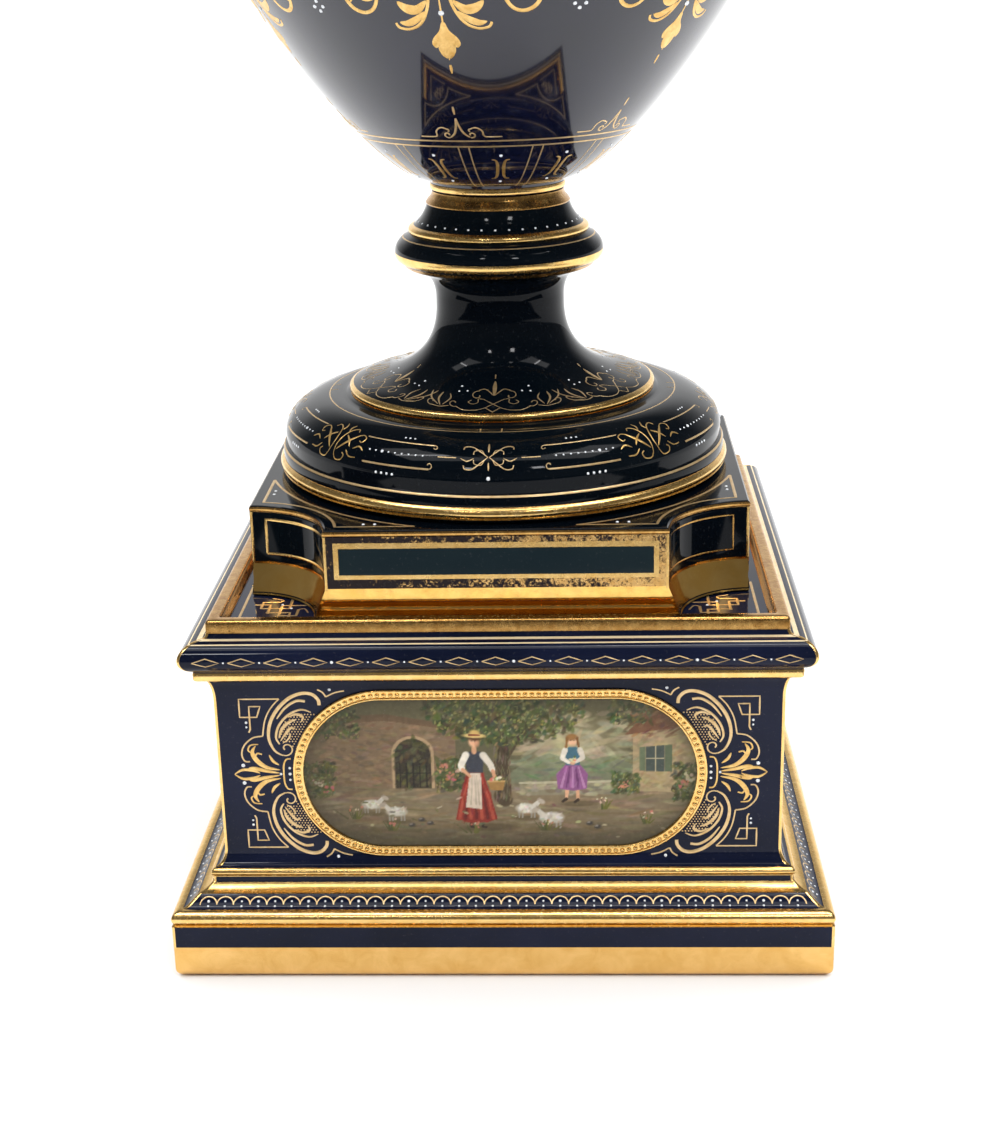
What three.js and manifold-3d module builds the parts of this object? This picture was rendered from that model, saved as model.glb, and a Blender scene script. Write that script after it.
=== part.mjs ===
// Porcelain mantel urn on its square plinth: three moulded pieces that stand on each other.
// Millimetres, +Z up, origin at the middle of the plinth's underside. The front faces -Y.
import * as THREE from 'three';
import { mergeVertices } from 'three/addons/utils/BufferGeometryUtils.js';
import Module from 'manifold-3d';

const wasm = await Module();
wasm.setup();

// Driving dimensions. A "half" is half the width of a square piece.
const ROUND = 40; // sides of every turned surface
const GAP = 0.3; // clearance between pieces that rest on each other

const plinth = {
  skirtHalf: 100,
  skirtTop: 17.5,
  slopeHalf: 92.5,
  neckHalf: 88.5,
  dadoHalf: 85,
  dadoBottom: 36.9,
  dadoTop: 85.4,
  capHalf: 93.3,
  rimHalf: 85.6,
  rimInnerHalf: 81.7,
  trayHalf: 80.5,
  top: 111.3,
  trayFloor: 107.8,
  wall: 6.2,
  floorThickness: 5.5,
};

const medallion = {
  width: 124.7,
  height: 55,
  band: 3.2,
  centre: 61.5,
  proud: 0.9,
};

const foot = {
  bottom: plinth.trayFloor + GAP,
  half: 76.5,
  notchHalf: 50.8,
  lipTop: 111.4,
  grooveTop: 113.1,
  grooveDepth: 0.7,
  slabTop: 135.8,
  collarRadius: 73,
  domeRadius: 70.9,
  domeCentre: 148.2,
  domeTop: 160,
  discRadius: 49.4,
  discTop: 163.8,
  stemRadius: 20.6,
  stemWaist: 188,
  knopRadius: 33.2,
  knopLevel: 205.2,
  top: 224,
  topRadius: 20.8,
  wall: 5.5,
};

const body = {
  bottom: foot.top + GAP,
  ringRadius: 21.4,
  bowlBottom: 227.4,
  bowlRadius: 94,
  bowlLevel: 334,
  shoulderRadius: 50,
  shoulderTop: 391,
  neckRadius: 33,
  neckLevel: 414,
  rimRadius: 53,
  top: 458,
  wall: 4.5,
};

// Outline helpers. Every outline is a list of [distance from the axis, height].
const radians = THREE.MathUtils.degToRad;

function arc(centre, rx, rz, from, to, steps) {
  return Array.from({ length: steps + 1 }, (_, i) => {
    const angle = radians(from + ((to - from) * i) / steps);
    return [centre[0] + rx * Math.cos(angle), centre[1] + rz * Math.sin(angle)];
  });
}

function bend(start, pullStart, pullEnd, end, steps) {
  const corners = [start, pullStart, pullEnd, end].map(([r, z]) => new THREE.Vector2(r, z));
  return new THREE.CubicBezierCurve(...corners).getPoints(steps).map((p) => [p.x, p.y]);
}

// A surface of revolution, or a square moulding when it has four sides.
function turned(outline, sides = ROUND) {
  const square = sides === 4;
  const scale = square ? Math.SQRT2 : 1;
  const points = outline.map(([r, z]) => new THREE.Vector2(r * scale, z));
  const geometry = new THREE.LatheGeometry(points, sides, square ? Math.PI / 4 : 0);
  return geometry.rotateX(Math.PI / 2);
}

function prism(shape, bottom, height, bevel = 0) {
  const geometry = new THREE.ExtrudeGeometry(shape, {
    depth: height - bevel,
    bevelEnabled: bevel > 0,
    bevelSize: bevel,
    bevelThickness: bevel,
    bevelOffset: -bevel,
    bevelSegments: 2,
    curveSegments: 6,
  });
  return geometry.translate(0, 0, bottom);
}

// Boolean solids. Triangles that a pole of a turned surface folds flat are dropped first.
function solid(geometry) {
  geometry.deleteAttribute('normal');
  geometry.deleteAttribute('uv');
  const merged = mergeVertices(geometry, 1e-4);
  const index = Array.from(merged.index.array);
  const triangles = [];
  for (let i = 0; i < index.length; i += 3) {
    const [a, b, c] = index.slice(i, i + 3);
    if (a !== b && b !== c && c !== a) triangles.push(a, b, c);
  }
  return new wasm.Manifold(new wasm.Mesh({
    numProp: 3,
    vertProperties: new Float32Array(merged.attributes.position.array),
    triVerts: new Uint32Array(triangles),
  }));
}

function meshOf(name, shape, material) {
  const { vertProperties, triVerts } = shape.getMesh();
  const geometry = new THREE.BufferGeometry();
  geometry.setAttribute('position', new THREE.BufferAttribute(vertProperties, 3));
  geometry.setIndex(new THREE.BufferAttribute(triVerts, 1));
  geometry.computeVertexNormals();
  const mesh = new THREE.Mesh(geometry, material);
  mesh.name = name;
  return mesh;
}

// Plinth: a hollow square box, open below, with a moulded skirt, a cap and a shallow tray on top.
function plinthOutline() {
  const p = plinth;
  const inner = p.dadoHalf - p.wall;
  const skirtInner = p.skirtHalf - p.wall - 1;
  return [
    [0, p.trayFloor - p.floorThickness],
    [inner, p.trayFloor - p.floorThickness],
    [inner, 30],
    [inner + 2.5, 24],
    [skirtInner, 15],
    [skirtInner, 0],
    [p.skirtHalf - 3.2, 0],
    ...arc([p.skirtHalf - 3, 3], 3, 3, -80, 0, 3),
    [p.skirtHalf, p.skirtTop],
    [p.skirtHalf - 0.5, p.skirtTop + 0.3],
    ...arc([p.skirtHalf - 2.2, p.skirtTop + 2.3], 2.3, 2.2, -60, 90, 5),
    [96.9, 21.9],
    [94.8, 23],
    [p.slopeHalf, 25],
    [90.4, 25.6],
    [p.neckHalf + 0.4, 26.9],
    [p.neckHalf, 28.6],
    ...arc([87.8, 29.9], 1.3, 1.3, -60, 90, 4),
    ...arc([87.5, p.dadoBottom], 2.5, 5.5, 270, 180, 4),
    ...arc([87.3, p.dadoTop], 2.3, 7.7, 180, 90, 4),
    [89.3, 93.8],
    [89.5, 96.4],
    ...arc([p.capHalf - 5.8, 101.4], 5.8, 4.7, -66, 78, 8),
    [86.1, 106.2],
    [p.rimHalf, 107.5],
    ...arc([p.rimHalf - 1, p.top - 1], 1, 1, 0, 90, 3),
    ...arc([p.rimInnerHalf + 0.8, p.top - 0.8], 0.8, 0.8, 90, 180, 2),
    [81.3, 109.4],
    [80.8, 108.2],
    [p.trayHalf - 0.5, p.trayFloor],
    [0, p.trayFloor],
  ];
}

// The raised oval border on the front of the plinth, a bar with round ends and an open middle.
function stadium(target, width, height) {
  const r = height / 2;
  const reach = width / 2 - r;
  target.absarc(reach, 0, r, -Math.PI / 2, Math.PI / 2, false);
  target.absarc(-reach, 0, r, Math.PI / 2, (3 * Math.PI) / 2, false);
  target.closePath();
  return target;
}

function medallionBorder() {
  const m = medallion;
  const shape = stadium(new THREE.Shape(), m.width, m.height);
  shape.holes.push(stadium(new THREE.Path(), m.width - 2 * m.band, m.height - 2 * m.band));
  const geometry = new THREE.ExtrudeGeometry(shape, {
    depth: m.proud + 1,
    bevelEnabled: false,
    curveSegments: 12,
  });
  return geometry.rotateX(Math.PI / 2).translate(0, 1 - plinth.dadoHalf, m.centre);
}

// Foot: a square slab whose corners are bitten out round, and a turned dome, stem and knop.
function notchedSquare(inset) {
  const half = foot.half - inset;
  const reach = foot.notchHalf - inset;
  const shape = new THREE.Shape();
  [[1, -1], [1, 1], [-1, 1], [-1, -1]].forEach(([sx, sy], corner) => {
    const start = radians(180 - 90 * ((4 - corner) % 4));
    const bite = half - reach;
    shape.absarc(sx * half, sy * half, bite, start, start - Math.PI / 2, true);
  });
  shape.closePath();
  return shape;
}

function footOutline() {
  const f = foot;
  return [
    [0, f.slabTop - 3],
    [f.collarRadius - 2.6, f.slabTop - 3],
    [f.collarRadius - 2.6, f.slabTop + 0.3],
    [f.collarRadius - 0.9, 136.9],
    [f.collarRadius, 139],
    [f.collarRadius - 0.6, 141],
    [71.9, 144.2],
    [70.5, 144.9],
    [f.domeRadius, f.domeCentre],
    ...arc([51.8, f.domeCentre], f.domeRadius - 51.8, f.domeTop - f.domeCentre, 18, 90, 5),
    [50.6, 160.2],
    [f.discRadius, 161],
    [f.discRadius, 162.8],
    [f.discRadius - 0.9, f.discTop],
    ...bend([46.8, 164.2], [31, 167], [f.stemRadius, 174], [f.stemRadius, f.stemWaist], 5),
    ...bend([f.stemRadius, 191], [21, 196.5], [23.5, 199], [29.5, 200.1], 3),
    [30.2, 201],
    [32.3, 202.8],
    [33.1, 204.3],
    ...arc([25.5, f.knopLevel], f.knopRadius - 25.5, 5.9, 4, 56, 3),
    [28.5, 211.1],
    [28.2, 212.8],
    ...bend([26.9, 213.4], [24.6, 215.2], [23.4, 217.6], [22.6, 219.9], 2),
    [21.5, 222],
    [f.topRadius, f.top],
    [0, f.top],
  ];
}

// The hollow that a moulded foot has inside, open below.
function footHollow() {
  const f = foot;
  return [
    [0, f.bottom - 1],
    [f.notchHalf + 5, f.bottom - 1],
    [f.notchHalf + 5, f.slabTop - 4],
    [f.domeRadius - 8, f.slabTop + 5],
    [f.domeRadius - 8, f.domeCentre + 1],
    [f.discRadius + 1, f.domeTop - f.wall - 1],
    [28, f.discTop - f.wall],
    [f.stemRadius - f.wall - 0.5, 170],
    [f.stemRadius - f.wall - 2.5, f.stemWaist],
    [f.stemRadius - f.wall - 2.5, f.top - 9],
    [0, f.top - 9],
  ];
}

function footSolid() {
  const f = foot;
  const lip = prism(notchedSquare(0), f.bottom, f.lipTop - f.bottom);
  const groove = prism(notchedSquare(f.grooveDepth), f.lipTop - 0.5, f.grooveTop - f.lipTop + 1);
  const slab = prism(notchedSquare(0), f.grooveTop, f.slabTop - f.grooveTop - 0.7, 0.7);
  return solid(lip)
    .add(solid(groove))
    .add(solid(slab))
    .add(solid(turned(footOutline())))
    .subtract(solid(turned(footHollow())));
}

// Body: an open vase with a round bowl, a shoulder, a waisted neck and a turned-out rim.
function bodyOutside() {
  const b = body;
  return [
    [0, b.bottom],
    [20.9, b.bottom],
    [b.ringRadius, b.bottom + 0.9],
    [21.1, 226.5],
    ...bend([21.5, b.bowlBottom], [40, 228], [b.bowlRadius, 303], [b.bowlRadius, b.bowlLevel], 10),
    ...bend([93.4, 343], [90, 365], [70, 384], [b.shoulderRadius, b.shoulderTop], 5),
    ...bend([44, 393.6], [37.5, 397.5], [b.neckRadius, 404], [b.neckRadius, b.neckLevel], 3),
    ...bend([33.2, 424], [34.5, 440], [42, 450], [b.rimRadius - 1.2, 453.2], 4),
    ...arc([b.rimRadius - 2.4, b.top - 2.2], 2.4, 2.2, -35, 90, 2),
  ];
}

function bodyInside() {
  const b = body;
  const t = b.wall;
  return [
    ...bend([b.rimRadius - 5.5, 456], [36.8, 450], [28.7, 438], [b.neckRadius - t, b.neckLevel], 3),
    ...bend([b.neckRadius - t, 404], [31, 396], [36, 392], [b.shoulderRadius - 3, 387], 2),
    ...bend([68, 379.5], [86, 362], [b.bowlRadius - t, 343], [b.bowlRadius - t, b.bowlLevel], 3),
    ...bend([b.bowlRadius - t - 0.3, 322], [82.5, 301], [40, 238.5], [16, 234], 5),
    [0, 233],
  ];
}

const glaze = { metalness: 0, flatShading: false };
const plinthGlaze = new THREE.MeshStandardMaterial({ color: 0x12173a, roughness: 0.12, ...glaze });
const footGlaze = new THREE.MeshStandardMaterial({ color: 0x0b1020, roughness: 0.1, ...glaze });
const bodyGlaze = new THREE.MeshStandardMaterial({ color: 0x101632, roughness: 0.08, ...glaze });

const urn = new THREE.Group();
urn.add(
  meshOf('plinth', solid(turned(plinthOutline(), 4)).add(solid(medallionBorder())), plinthGlaze),
  meshOf('urn_foot', footSolid(), footGlaze),
  meshOf('urn_body', solid(turned([...bodyOutside(), ...bodyInside()])), bodyGlaze),
);

export default urn;
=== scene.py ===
import bisect
import math

import bmesh
import bpy
import numpy as np
from mathutils import Matrix, Vector, geometry


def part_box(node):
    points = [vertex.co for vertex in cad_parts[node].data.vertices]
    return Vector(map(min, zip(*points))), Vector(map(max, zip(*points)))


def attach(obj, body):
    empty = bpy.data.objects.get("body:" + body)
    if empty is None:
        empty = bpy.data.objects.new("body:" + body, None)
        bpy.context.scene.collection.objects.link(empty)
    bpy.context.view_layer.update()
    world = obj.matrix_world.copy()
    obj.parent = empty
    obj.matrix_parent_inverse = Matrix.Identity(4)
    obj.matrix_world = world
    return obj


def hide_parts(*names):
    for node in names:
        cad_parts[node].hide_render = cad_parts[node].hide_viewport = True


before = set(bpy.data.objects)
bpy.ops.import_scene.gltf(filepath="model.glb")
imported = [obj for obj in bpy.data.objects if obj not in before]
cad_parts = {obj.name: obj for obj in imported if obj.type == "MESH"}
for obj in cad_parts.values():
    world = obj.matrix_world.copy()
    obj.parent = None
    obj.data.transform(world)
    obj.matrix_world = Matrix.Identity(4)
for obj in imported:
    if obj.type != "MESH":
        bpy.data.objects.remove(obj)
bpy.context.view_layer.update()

MM = 0.001
TURN_STEPS = 192          # faces round a turned piece
SAME_POINT = 0.002        # points closer than this are one
GILT_PROUD = 0.04         # a gold skin stands this far off the glaze
GILT_SUNK = 0.25          # and reaches this far into it
BRUSH_RELIEF = 0.11       # height of a brushed gold line
BRUSH_LIFT = 0.015        # and its clearance over the glaze
ROOT = "root"


def node_box(name):
    """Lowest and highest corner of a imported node, in millimetres."""
    low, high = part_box(name)
    return Vector(low) / MM, Vector(high) / MM


PLINTH_TOP = node_box("plinth")[1].z
FOOT_BASE = node_box("urn_foot")[0].z
BODY_BASE = node_box("urn_body")[0].z

# Levels of the plinth are over the shelf; those of the foot and the body over their own undersides.
SKIRT_HALF = 100.0
DADO_HALF = 85.0
DADO_LOW, DADO_TOP = 36.9, 85.4
CAP_LEVEL = 101.4
TRAY_HALF = 80.5
TRAY_FLOOR = PLINTH_TOP - 3.5
MEDALLION_WIDTH, MEDALLION_HEIGHT, MEDALLION_BAND = 124.7, 55.0, 3.2
MEDALLION_LEVEL = 61.5
SLAB_HALF = 76.5
NOTCH_HALF = 50.8
BITE_RADIUS = SLAB_HALF - NOTCH_HALF
SLAB_TOP = 27.7
COLLAR_RADIUS = 73.0
DOME_RADIUS = 70.9
DISC_RADIUS = 49.45
STEM_RADIUS = 20.6
KNOP_RADIUS = 33.2
SEAT_RADIUS = 20.9
BOWL_RADIUS = 94.0
NECK_RADIUS = 33.0
RIM_RADIUS = 53.0


# ---------------------------------------------------------------- shader maths

class Wire:
    """A socket that takes part in plain arithmetic, adding its Math nodes as it goes."""

    def __init__(self, tree, socket):
        self.tree = tree
        self.socket = socket

    def reckon(self, operation, *terms, clamp=False):
        node = self.tree.nodes.new("ShaderNodeMath")
        node.operation = operation
        node.use_clamp = clamp
        for socket, term in zip(node.inputs, terms):
            feed(self.tree, socket, term)
        return Wire(self.tree, node.outputs[0])

    def __add__(self, other):
        return self.reckon("ADD", self, other)

    def __radd__(self, other):
        return self.reckon("ADD", other, self)

    def __sub__(self, other):
        return self.reckon("SUBTRACT", self, other)

    def __rsub__(self, other):
        return self.reckon("SUBTRACT", other, self)

    def __mul__(self, other):
        return self.reckon("MULTIPLY", self, other)

    def __rmul__(self, other):
        return self.reckon("MULTIPLY", other, self)

    def above(self, edge, soft):
        """0 below the edge and 1 above it, over a soft step."""
        return self.reckon("MULTIPLY", self - (edge - soft), 0.5 / soft, clamp=True)


def feed(tree, socket, value):
    """Link a wire to a socket, or set the socket's own value."""
    if isinstance(value, Wire):
        tree.links.new(value.socket, socket)
    else:
        socket.default_value = value


class Finish:
    """A node material under construction."""

    def __init__(self, name):
        self.material = bpy.data.materials.new(name)
        self.material.use_nodes = True
        self.tree = self.material.node_tree
        self.tree.nodes.clear()

    def node(self, kind, settings=None, **inputs):
        """Add a node: its settings first, then the values or links of its sockets."""
        node = self.tree.nodes.new(kind)
        for key, value in (settings or {}).items():
            if key == "stops":
                paint_ramp(node.color_ramp, value)
            else:
                setattr(node, key, value)
        for key, value in inputs.items():
            feed(self.tree, node.inputs[key.replace("_", " ")], value)
        return node

    def out(self, kind, output=0, settings=None, **inputs):
        return Wire(self.tree, self.node(kind, settings, **inputs).outputs[output])

    def place(self):
        """Where a point is on the piece, in metres."""
        return self.out("ShaderNodeTexCoord", "Object")

    def cloud(self, scale, detail=4.0, roughness=0.55, distortion=0.0, where=None):
        return self.out("ShaderNodeTexNoise", 0, None, Vector=where or self.place(), Scale=scale,
                        Detail=detail, Roughness=roughness, Distortion=distortion)

    def blend(self, mask, first, second):
        """Colour mix."""
        mix = self.tree.nodes.new("ShaderNodeMix")
        mix.data_type = "RGBA"
        feed(self.tree, mix.inputs[0], mask)
        feed(self.tree, mix.inputs[6], first)
        feed(self.tree, mix.inputs[7], second)
        return Wire(self.tree, mix.outputs[2])

    def bump(self, height, strength, distance):
        """A normal dented by a height."""
        return self.out("ShaderNodeBump", 0, None, Height=height, Strength=strength,
                        Distance=distance)

    def surface(self, **inputs):
        shader = self.node("ShaderNodeBsdfPrincipled", None, **inputs)
        output = self.tree.nodes.new("ShaderNodeOutputMaterial")
        self.tree.links.new(shader.outputs[0], output.inputs[0])
        return self.material


def paint_ramp(ramp, stops):
    ramp.elements.remove(ramp.elements[1])
    ramp.elements[0].position, ramp.elements[0].color = stops[0]
    for position, colour in stops[1:]:
        ramp.elements.new(position).color = colour


def glaze(name, shallow, deep, haze, ior, coat):
    """Dark ground under a clear glaze: cloudy colour, a breath of dust, a few pinholes."""
    f = Finish(name)
    drift = f.cloud(22.0, 3.0)
    colour = f.blend(drift.above(0.52, 0.2), (*deep, 1), (*shallow, 1))
    dust = f.cloud(900.0, 3.0, 0.7).above(0.66, 0.05) * 0.35
    colour = f.blend(dust, colour, (*haze, 1))
    waves = f.cloud(38.0, 1.0)
    pores = f.out("ShaderNodeTexVoronoi", "Distance", None, Vector=f.place(), Scale=420.0)
    height = waves + pores.reckon("LESS_THAN", pores, 0.06) * -0.03
    rough = 0.035 + f.cloud(60.0, 5.0, 0.7) * 0.06
    return f.surface(Base_Color=colour, Roughness=rough, IOR=ior, Coat_Weight=coat,
                     Coat_Roughness=0.02, Normal=f.bump(height, 0.12, 0.0006))


def gilding(name, gold, shade, wear, grain, roughness=0.24, metal=1.0, lean=0.0):
    """Burnished gold, thin and rubbed: the dark ground shows through where it is worn."""
    f = Finish(name)
    fine = f.cloud(grain, 6.0, 0.75)
    broad = f.cloud(grain * 0.09, 3.0, 0.6)
    across = f.out("ShaderNodeSeparateXYZ", "X", None, Vector=f.place())
    worn = (fine * 0.62 + broad * 0.38 - across * lean).above(0.74 - wear * 0.34, 0.02)
    tone = f.cloud(grain * 0.3, 4.0, 0.65, 0.6).above(0.52, 0.22)
    colour = f.blend(tone, (*shade, 1), (*gold, 1))
    colour = f.blend(worn, colour, (0.016, 0.011, 0.012, 1))
    rough = roughness + f.cloud(grain * 0.6, 4.0, 0.7) * 0.22 - 0.1
    height = f.cloud(grain * 0.5, 4.0) - worn * 0.8
    return f.surface(Base_Color=colour, Metallic=(1.0 - worn) * metal, Roughness=rough, IOR=1.25,
                     Normal=f.bump(height, 0.25, 0.0001))


def enamel(name, light, shade):
    """Raised white enamel, a little cloudy."""
    f = Finish(name)
    colour = f.blend(f.cloud(600.0, 2.0).above(0.5, 0.25), (*shade, 1), (*light, 1))
    return f.surface(Base_Color=colour, Roughness=0.22, IOR=1.5, Coat_Weight=0.4)


def painted(name):
    """Overglaze painting kept in the panel's own colour layer, with brush grain and soft gloss."""
    f = Finish(name)
    paint = f.out("ShaderNodeVertexColor", "Color", {"layer_name": "paint"})
    grain = f.cloud(1500.0, 3.0, 0.7)
    wash = f.cloud(180.0, 4.0, 0.6, 1.2)
    colour = f.blend(grain.above(0.62, 0.2) * 0.08, paint, (0.2, 0.17, 0.1, 1))
    colour = f.blend(wash.above(0.62, 0.2) * 0.1, colour, (0.04, 0.04, 0.03, 1))
    return f.surface(Base_Color=colour, Roughness=0.18 + grain * 0.14, IOR=1.36,
                     Normal=f.bump(grain, 0.1, 0.0001))


PLINTH_GLAZE = glaze("plinth_glaze", (0.008, 0.011, 0.032), (0.003, 0.005, 0.015),
                     (0.05, 0.05, 0.06), 1.26, 0.0)
FOOT_GLAZE = glaze("foot_glaze", (0.002, 0.004, 0.006), (0.001, 0.002, 0.004),
                   (0.03, 0.032, 0.035), 1.21, 0.0)
# The slab's flat sides: the foot's glaze made lighter and greyer, a painted reflection of the pale floor.
PAINTED_SHEEN_GLAZE = glaze("painted_sheen_glaze", (0.013, 0.022, 0.026), (0.009, 0.017, 0.022),
                    (0.05, 0.055, 0.06), 1.26, 0.0)
BODY_GLAZE = glaze("body_glaze", (0.004, 0.005, 0.02), (0.002, 0.003, 0.01),
                   (0.03, 0.03, 0.04), 1.55, 0.25)
BRIGHT_GOLD = gilding("bright_gold", (0.95, 0.66, 0.27), (0.82, 0.5, 0.15), 0.16, 900.0)
SMOOTH_GOLD = gilding("smooth_gold", (0.85, 0.53, 0.19), (0.7, 0.4, 0.11), 0.1, 520.0, 0.2)
WORN_GOLD = gilding("worn_gold", (0.88, 0.58, 0.24), (0.66, 0.36, 0.1), 0.79, 1300.0, lean=1.6)
RUBBED_GOLD = gilding("rubbed_gold", (0.66, 0.4, 0.13), (0.4, 0.2, 0.05), 0.3, 1300.0)
LINE_GOLD = gilding("line_gold", (0.8, 0.6, 0.34), (0.62, 0.41, 0.18), 0.2, 1500.0, 0.34, 0.8)
LEAF_GOLD = gilding("leaf_gold", (0.9, 0.62, 0.25), (0.62, 0.36, 0.1), 0.25, 1100.0, 0.3, 0.85)
POLISHED_GOLD = gilding("polished_gold", (0.92, 0.58, 0.18), (0.84, 0.48, 0.11), 0.06, 420.0, 0.12)
# Pale cream gold, little of it metal, that paints a white highlight onto the cap's gilt lines.
PAINTED_HIGHLIGHT_GOLD = gilding("painted_highlight_gold", (0.96, 0.82, 0.55), (0.86, 0.66, 0.38), 0.08, 900.0, 0.3, 0.4)
PANEL_PAINT = painted("panel_paint")
WHITE_ENAMEL = enamel("white_enamel", (0.9, 0.92, 0.93), (0.7, 0.74, 0.8))


# ---------------------------------------------------------------- outlines and solids

def arc(centre, rx, rz, start, end, steps):
    """Part of an ellipse, from one angle in degrees to another."""
    angles = [math.radians(start + (end - start) * i / steps) for i in range(steps + 1)]
    return [(centre[0] + rx * math.cos(a), centre[1] + rz * math.sin(a)) for a in angles]


def bend(start, pull_start, pull_end, end, steps):
    """A curve between two points, drawn towards two others."""
    corners = [Vector(p) for p in (start, pull_start, pull_end, end)]
    return [tuple(p) for p in geometry.interpolate_bezier(*corners, steps + 1)]


def raised(outline, level):
    return [(r, z + level) for r, z in outline]


def finish_piece(bm, name, materials, replaces=(), smooth=35.0, weighted=False):
    """Scale to metres, shade smooth up to an angle, and hang the piece on the frame."""
    bmesh.ops.scale(bm, vec=(MM, MM, MM), verts=bm.verts)
    mesh = bpy.data.meshes.new(name)
    bm.to_mesh(mesh)
    bm.free()
    for material in materials:
        mesh.materials.append(material)
    mesh.polygons.foreach_set("use_smooth", [True] * len(mesh.polygons))
    mesh.set_sharp_from_angle(angle=math.radians(smooth))
    piece = bpy.data.objects.new(name, mesh)
    bpy.context.scene.collection.objects.link(piece)
    if weighted:
        modifier = piece.modifiers.new("weighted", "WEIGHTED_NORMAL")
        modifier.keep_sharp = True
        modifier.weight = 80
    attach(piece, ROOT)
    if replaces:
        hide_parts(*replaces)
    return piece


def clean(bm):
    """Merge doubles, then point the faces outwards."""
    bmesh.ops.remove_doubles(bm, verts=bm.verts, dist=SAME_POINT)
    bmesh.ops.recalc_face_normals(bm, faces=bm.faces)
    return bm


def turned(outline, square=False, closed=False):
    """A surface of revolution, or a square moulding whose outline is drawn at its mitre."""
    bm = bmesh.new()
    verts = [bm.verts.new((r, r if square else 0.0, z)) for r, z in outline]
    pairs = list(zip(verts, verts[1:]))
    if closed:
        pairs.append((verts[-1], verts[0]))
    edges = [bm.edges.new(pair) for pair in pairs]
    bmesh.ops.spin(bm, geom=verts + edges, cent=(0, 0, 0), axis=(0, 0, 1), dvec=(0, 0, 0),
                   angle=math.tau, steps=4 if square else TURN_STEPS, use_merge=True,
                   use_duplicate=False)
    return clean(bm)


def soften_mitres(bm, radius=0.7):
    """Round the upright corners of a square moulding a little."""
    def on_mitre(vert):
        return abs(abs(vert.co.x) - abs(vert.co.y)) < 0.01 and abs(vert.co.x) > 60.0

    mitres = [e for e in bm.edges if on_mitre(e.verts[0]) and on_mitre(e.verts[1])
              and e.verts[0].co.x * e.verts[1].co.x > 0 and e.verts[0].co.y * e.verts[1].co.y > 0]
    bmesh.ops.bevel(bm, geom=mitres, affect="EDGES", offset=radius, offset_type="OFFSET",
                    segments=3, profile=0.5, material=-1, clamp_overlap=True)
    return bm


def absorb(target, source, slot=0):
    """Add one bmesh to another, as one material slot."""
    for face in source.faces:
        face.material_index = slot
    scratch = bpy.data.meshes.new("scratch")
    source.to_mesh(scratch)
    source.free()
    target.from_mesh(scratch)
    bpy.data.meshes.remove(scratch)


def offset_outline(outline, distance):
    """Move an outline along its own normal, outwards when it is drawn upwards."""
    moved = []
    for i, point in enumerate(outline):
        before = Vector(outline[max(i - 1, 0)])
        after = Vector(outline[min(i + 1, len(outline) - 1)])
        run = (after - before).normalized()
        moved.append((point[0] + run.y * distance, point[1] - run.x * distance))
    return moved


def gilt_ring(outline, square=False):
    """A skin of gold over one stretch of an outline, closed underneath."""
    section = offset_outline(outline, GILT_PROUD) + offset_outline(outline, -GILT_SUNK)[::-1]
    bm = turned(section, square=square, closed=True)
    return soften_mitres(bm) if square else bm


# ---------------------------------------------------------------- the three outlines

def plinth_runs():
    """The plinth from its hollow underside round to the tray: finish, then half widths and levels."""
    s, d = SKIRT_HALF, DADO_HALF
    top, floor = PLINTH_TOP, TRAY_FLOOR
    return [
        ("glaze", [(0, floor - 5.5), (78.8, floor - 5.5), (78.8, 30), (81.3, 24), (92.8, 15),
                   (92.8, 0), (s - 3.2, 0)]),
        ("skirt", arc((s - 3, 3), 3, 3, -80, 0, 6) + [(s, 4), (s, 10.6)]),
        ("glaze", [(s, 10.6), (s, 17.0), (s, 17.5)]),
        ("bead", [(s, 17.5), (s - 0.5, 17.8)] + arc((s - 2.2, 19.8), 2.3, 2.2, -60, 90, 8)
                 + [(96.9, 21.9)]),
        ("ogee", bend((96.9, 21.9), (95.6, 22.1), (94.2, 23.6), (92.5, 25), 6)),
        ("bead", [(92.5, 25), (91.5, 25.1), (90.4, 25.6), (89.5, 26.2), (88.9, 26.9)]),
        ("glaze", [(88.9, 26.9), (88.5, 27.2), (88.5, 28.6)]),
        ("bead", [(88.5, 28.6)] + arc((87.8, 29.9), 1.3, 1.3, -60, 90, 6)),
        ("dado", arc((87.5, DADO_LOW), 2.5, 5.5, 270, 180, 10) + [(d, DADO_LOW + 0.6)]
                 + [(d, DADO_TOP - 0.6)] + arc((87.3, DADO_TOP), 2.3, 7.7, 180, 90, 12)),
        ("bead", [(87.3, 93.1), (89.3, 93.8), (89.6, 94.1), (89.7, 96.1), (89.5, 96.4)]),
        ("cap", arc((87.5, CAP_LEVEL), 5.8, 4.7, -66, 78, 24)
                + [(86.1, 106.2), (85.7, 107.0), (85.6, 107.5)]),
        ("rim", [(85.6, 107.5)] + arc((84.6, top - 1), 1, 1, 0, 90, 5)
                + arc((82.5, top - 0.8), 0.8, 0.8, 90, 180, 4)),
        ("inner", [(81.7, top - 0.8), (81.6, 109.9), (81.3, 109.4), (80.9, 108.4), (TRAY_HALF, floor)]),
        ("glaze", [(TRAY_HALF, floor), (0, floor)]),
    ]


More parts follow.
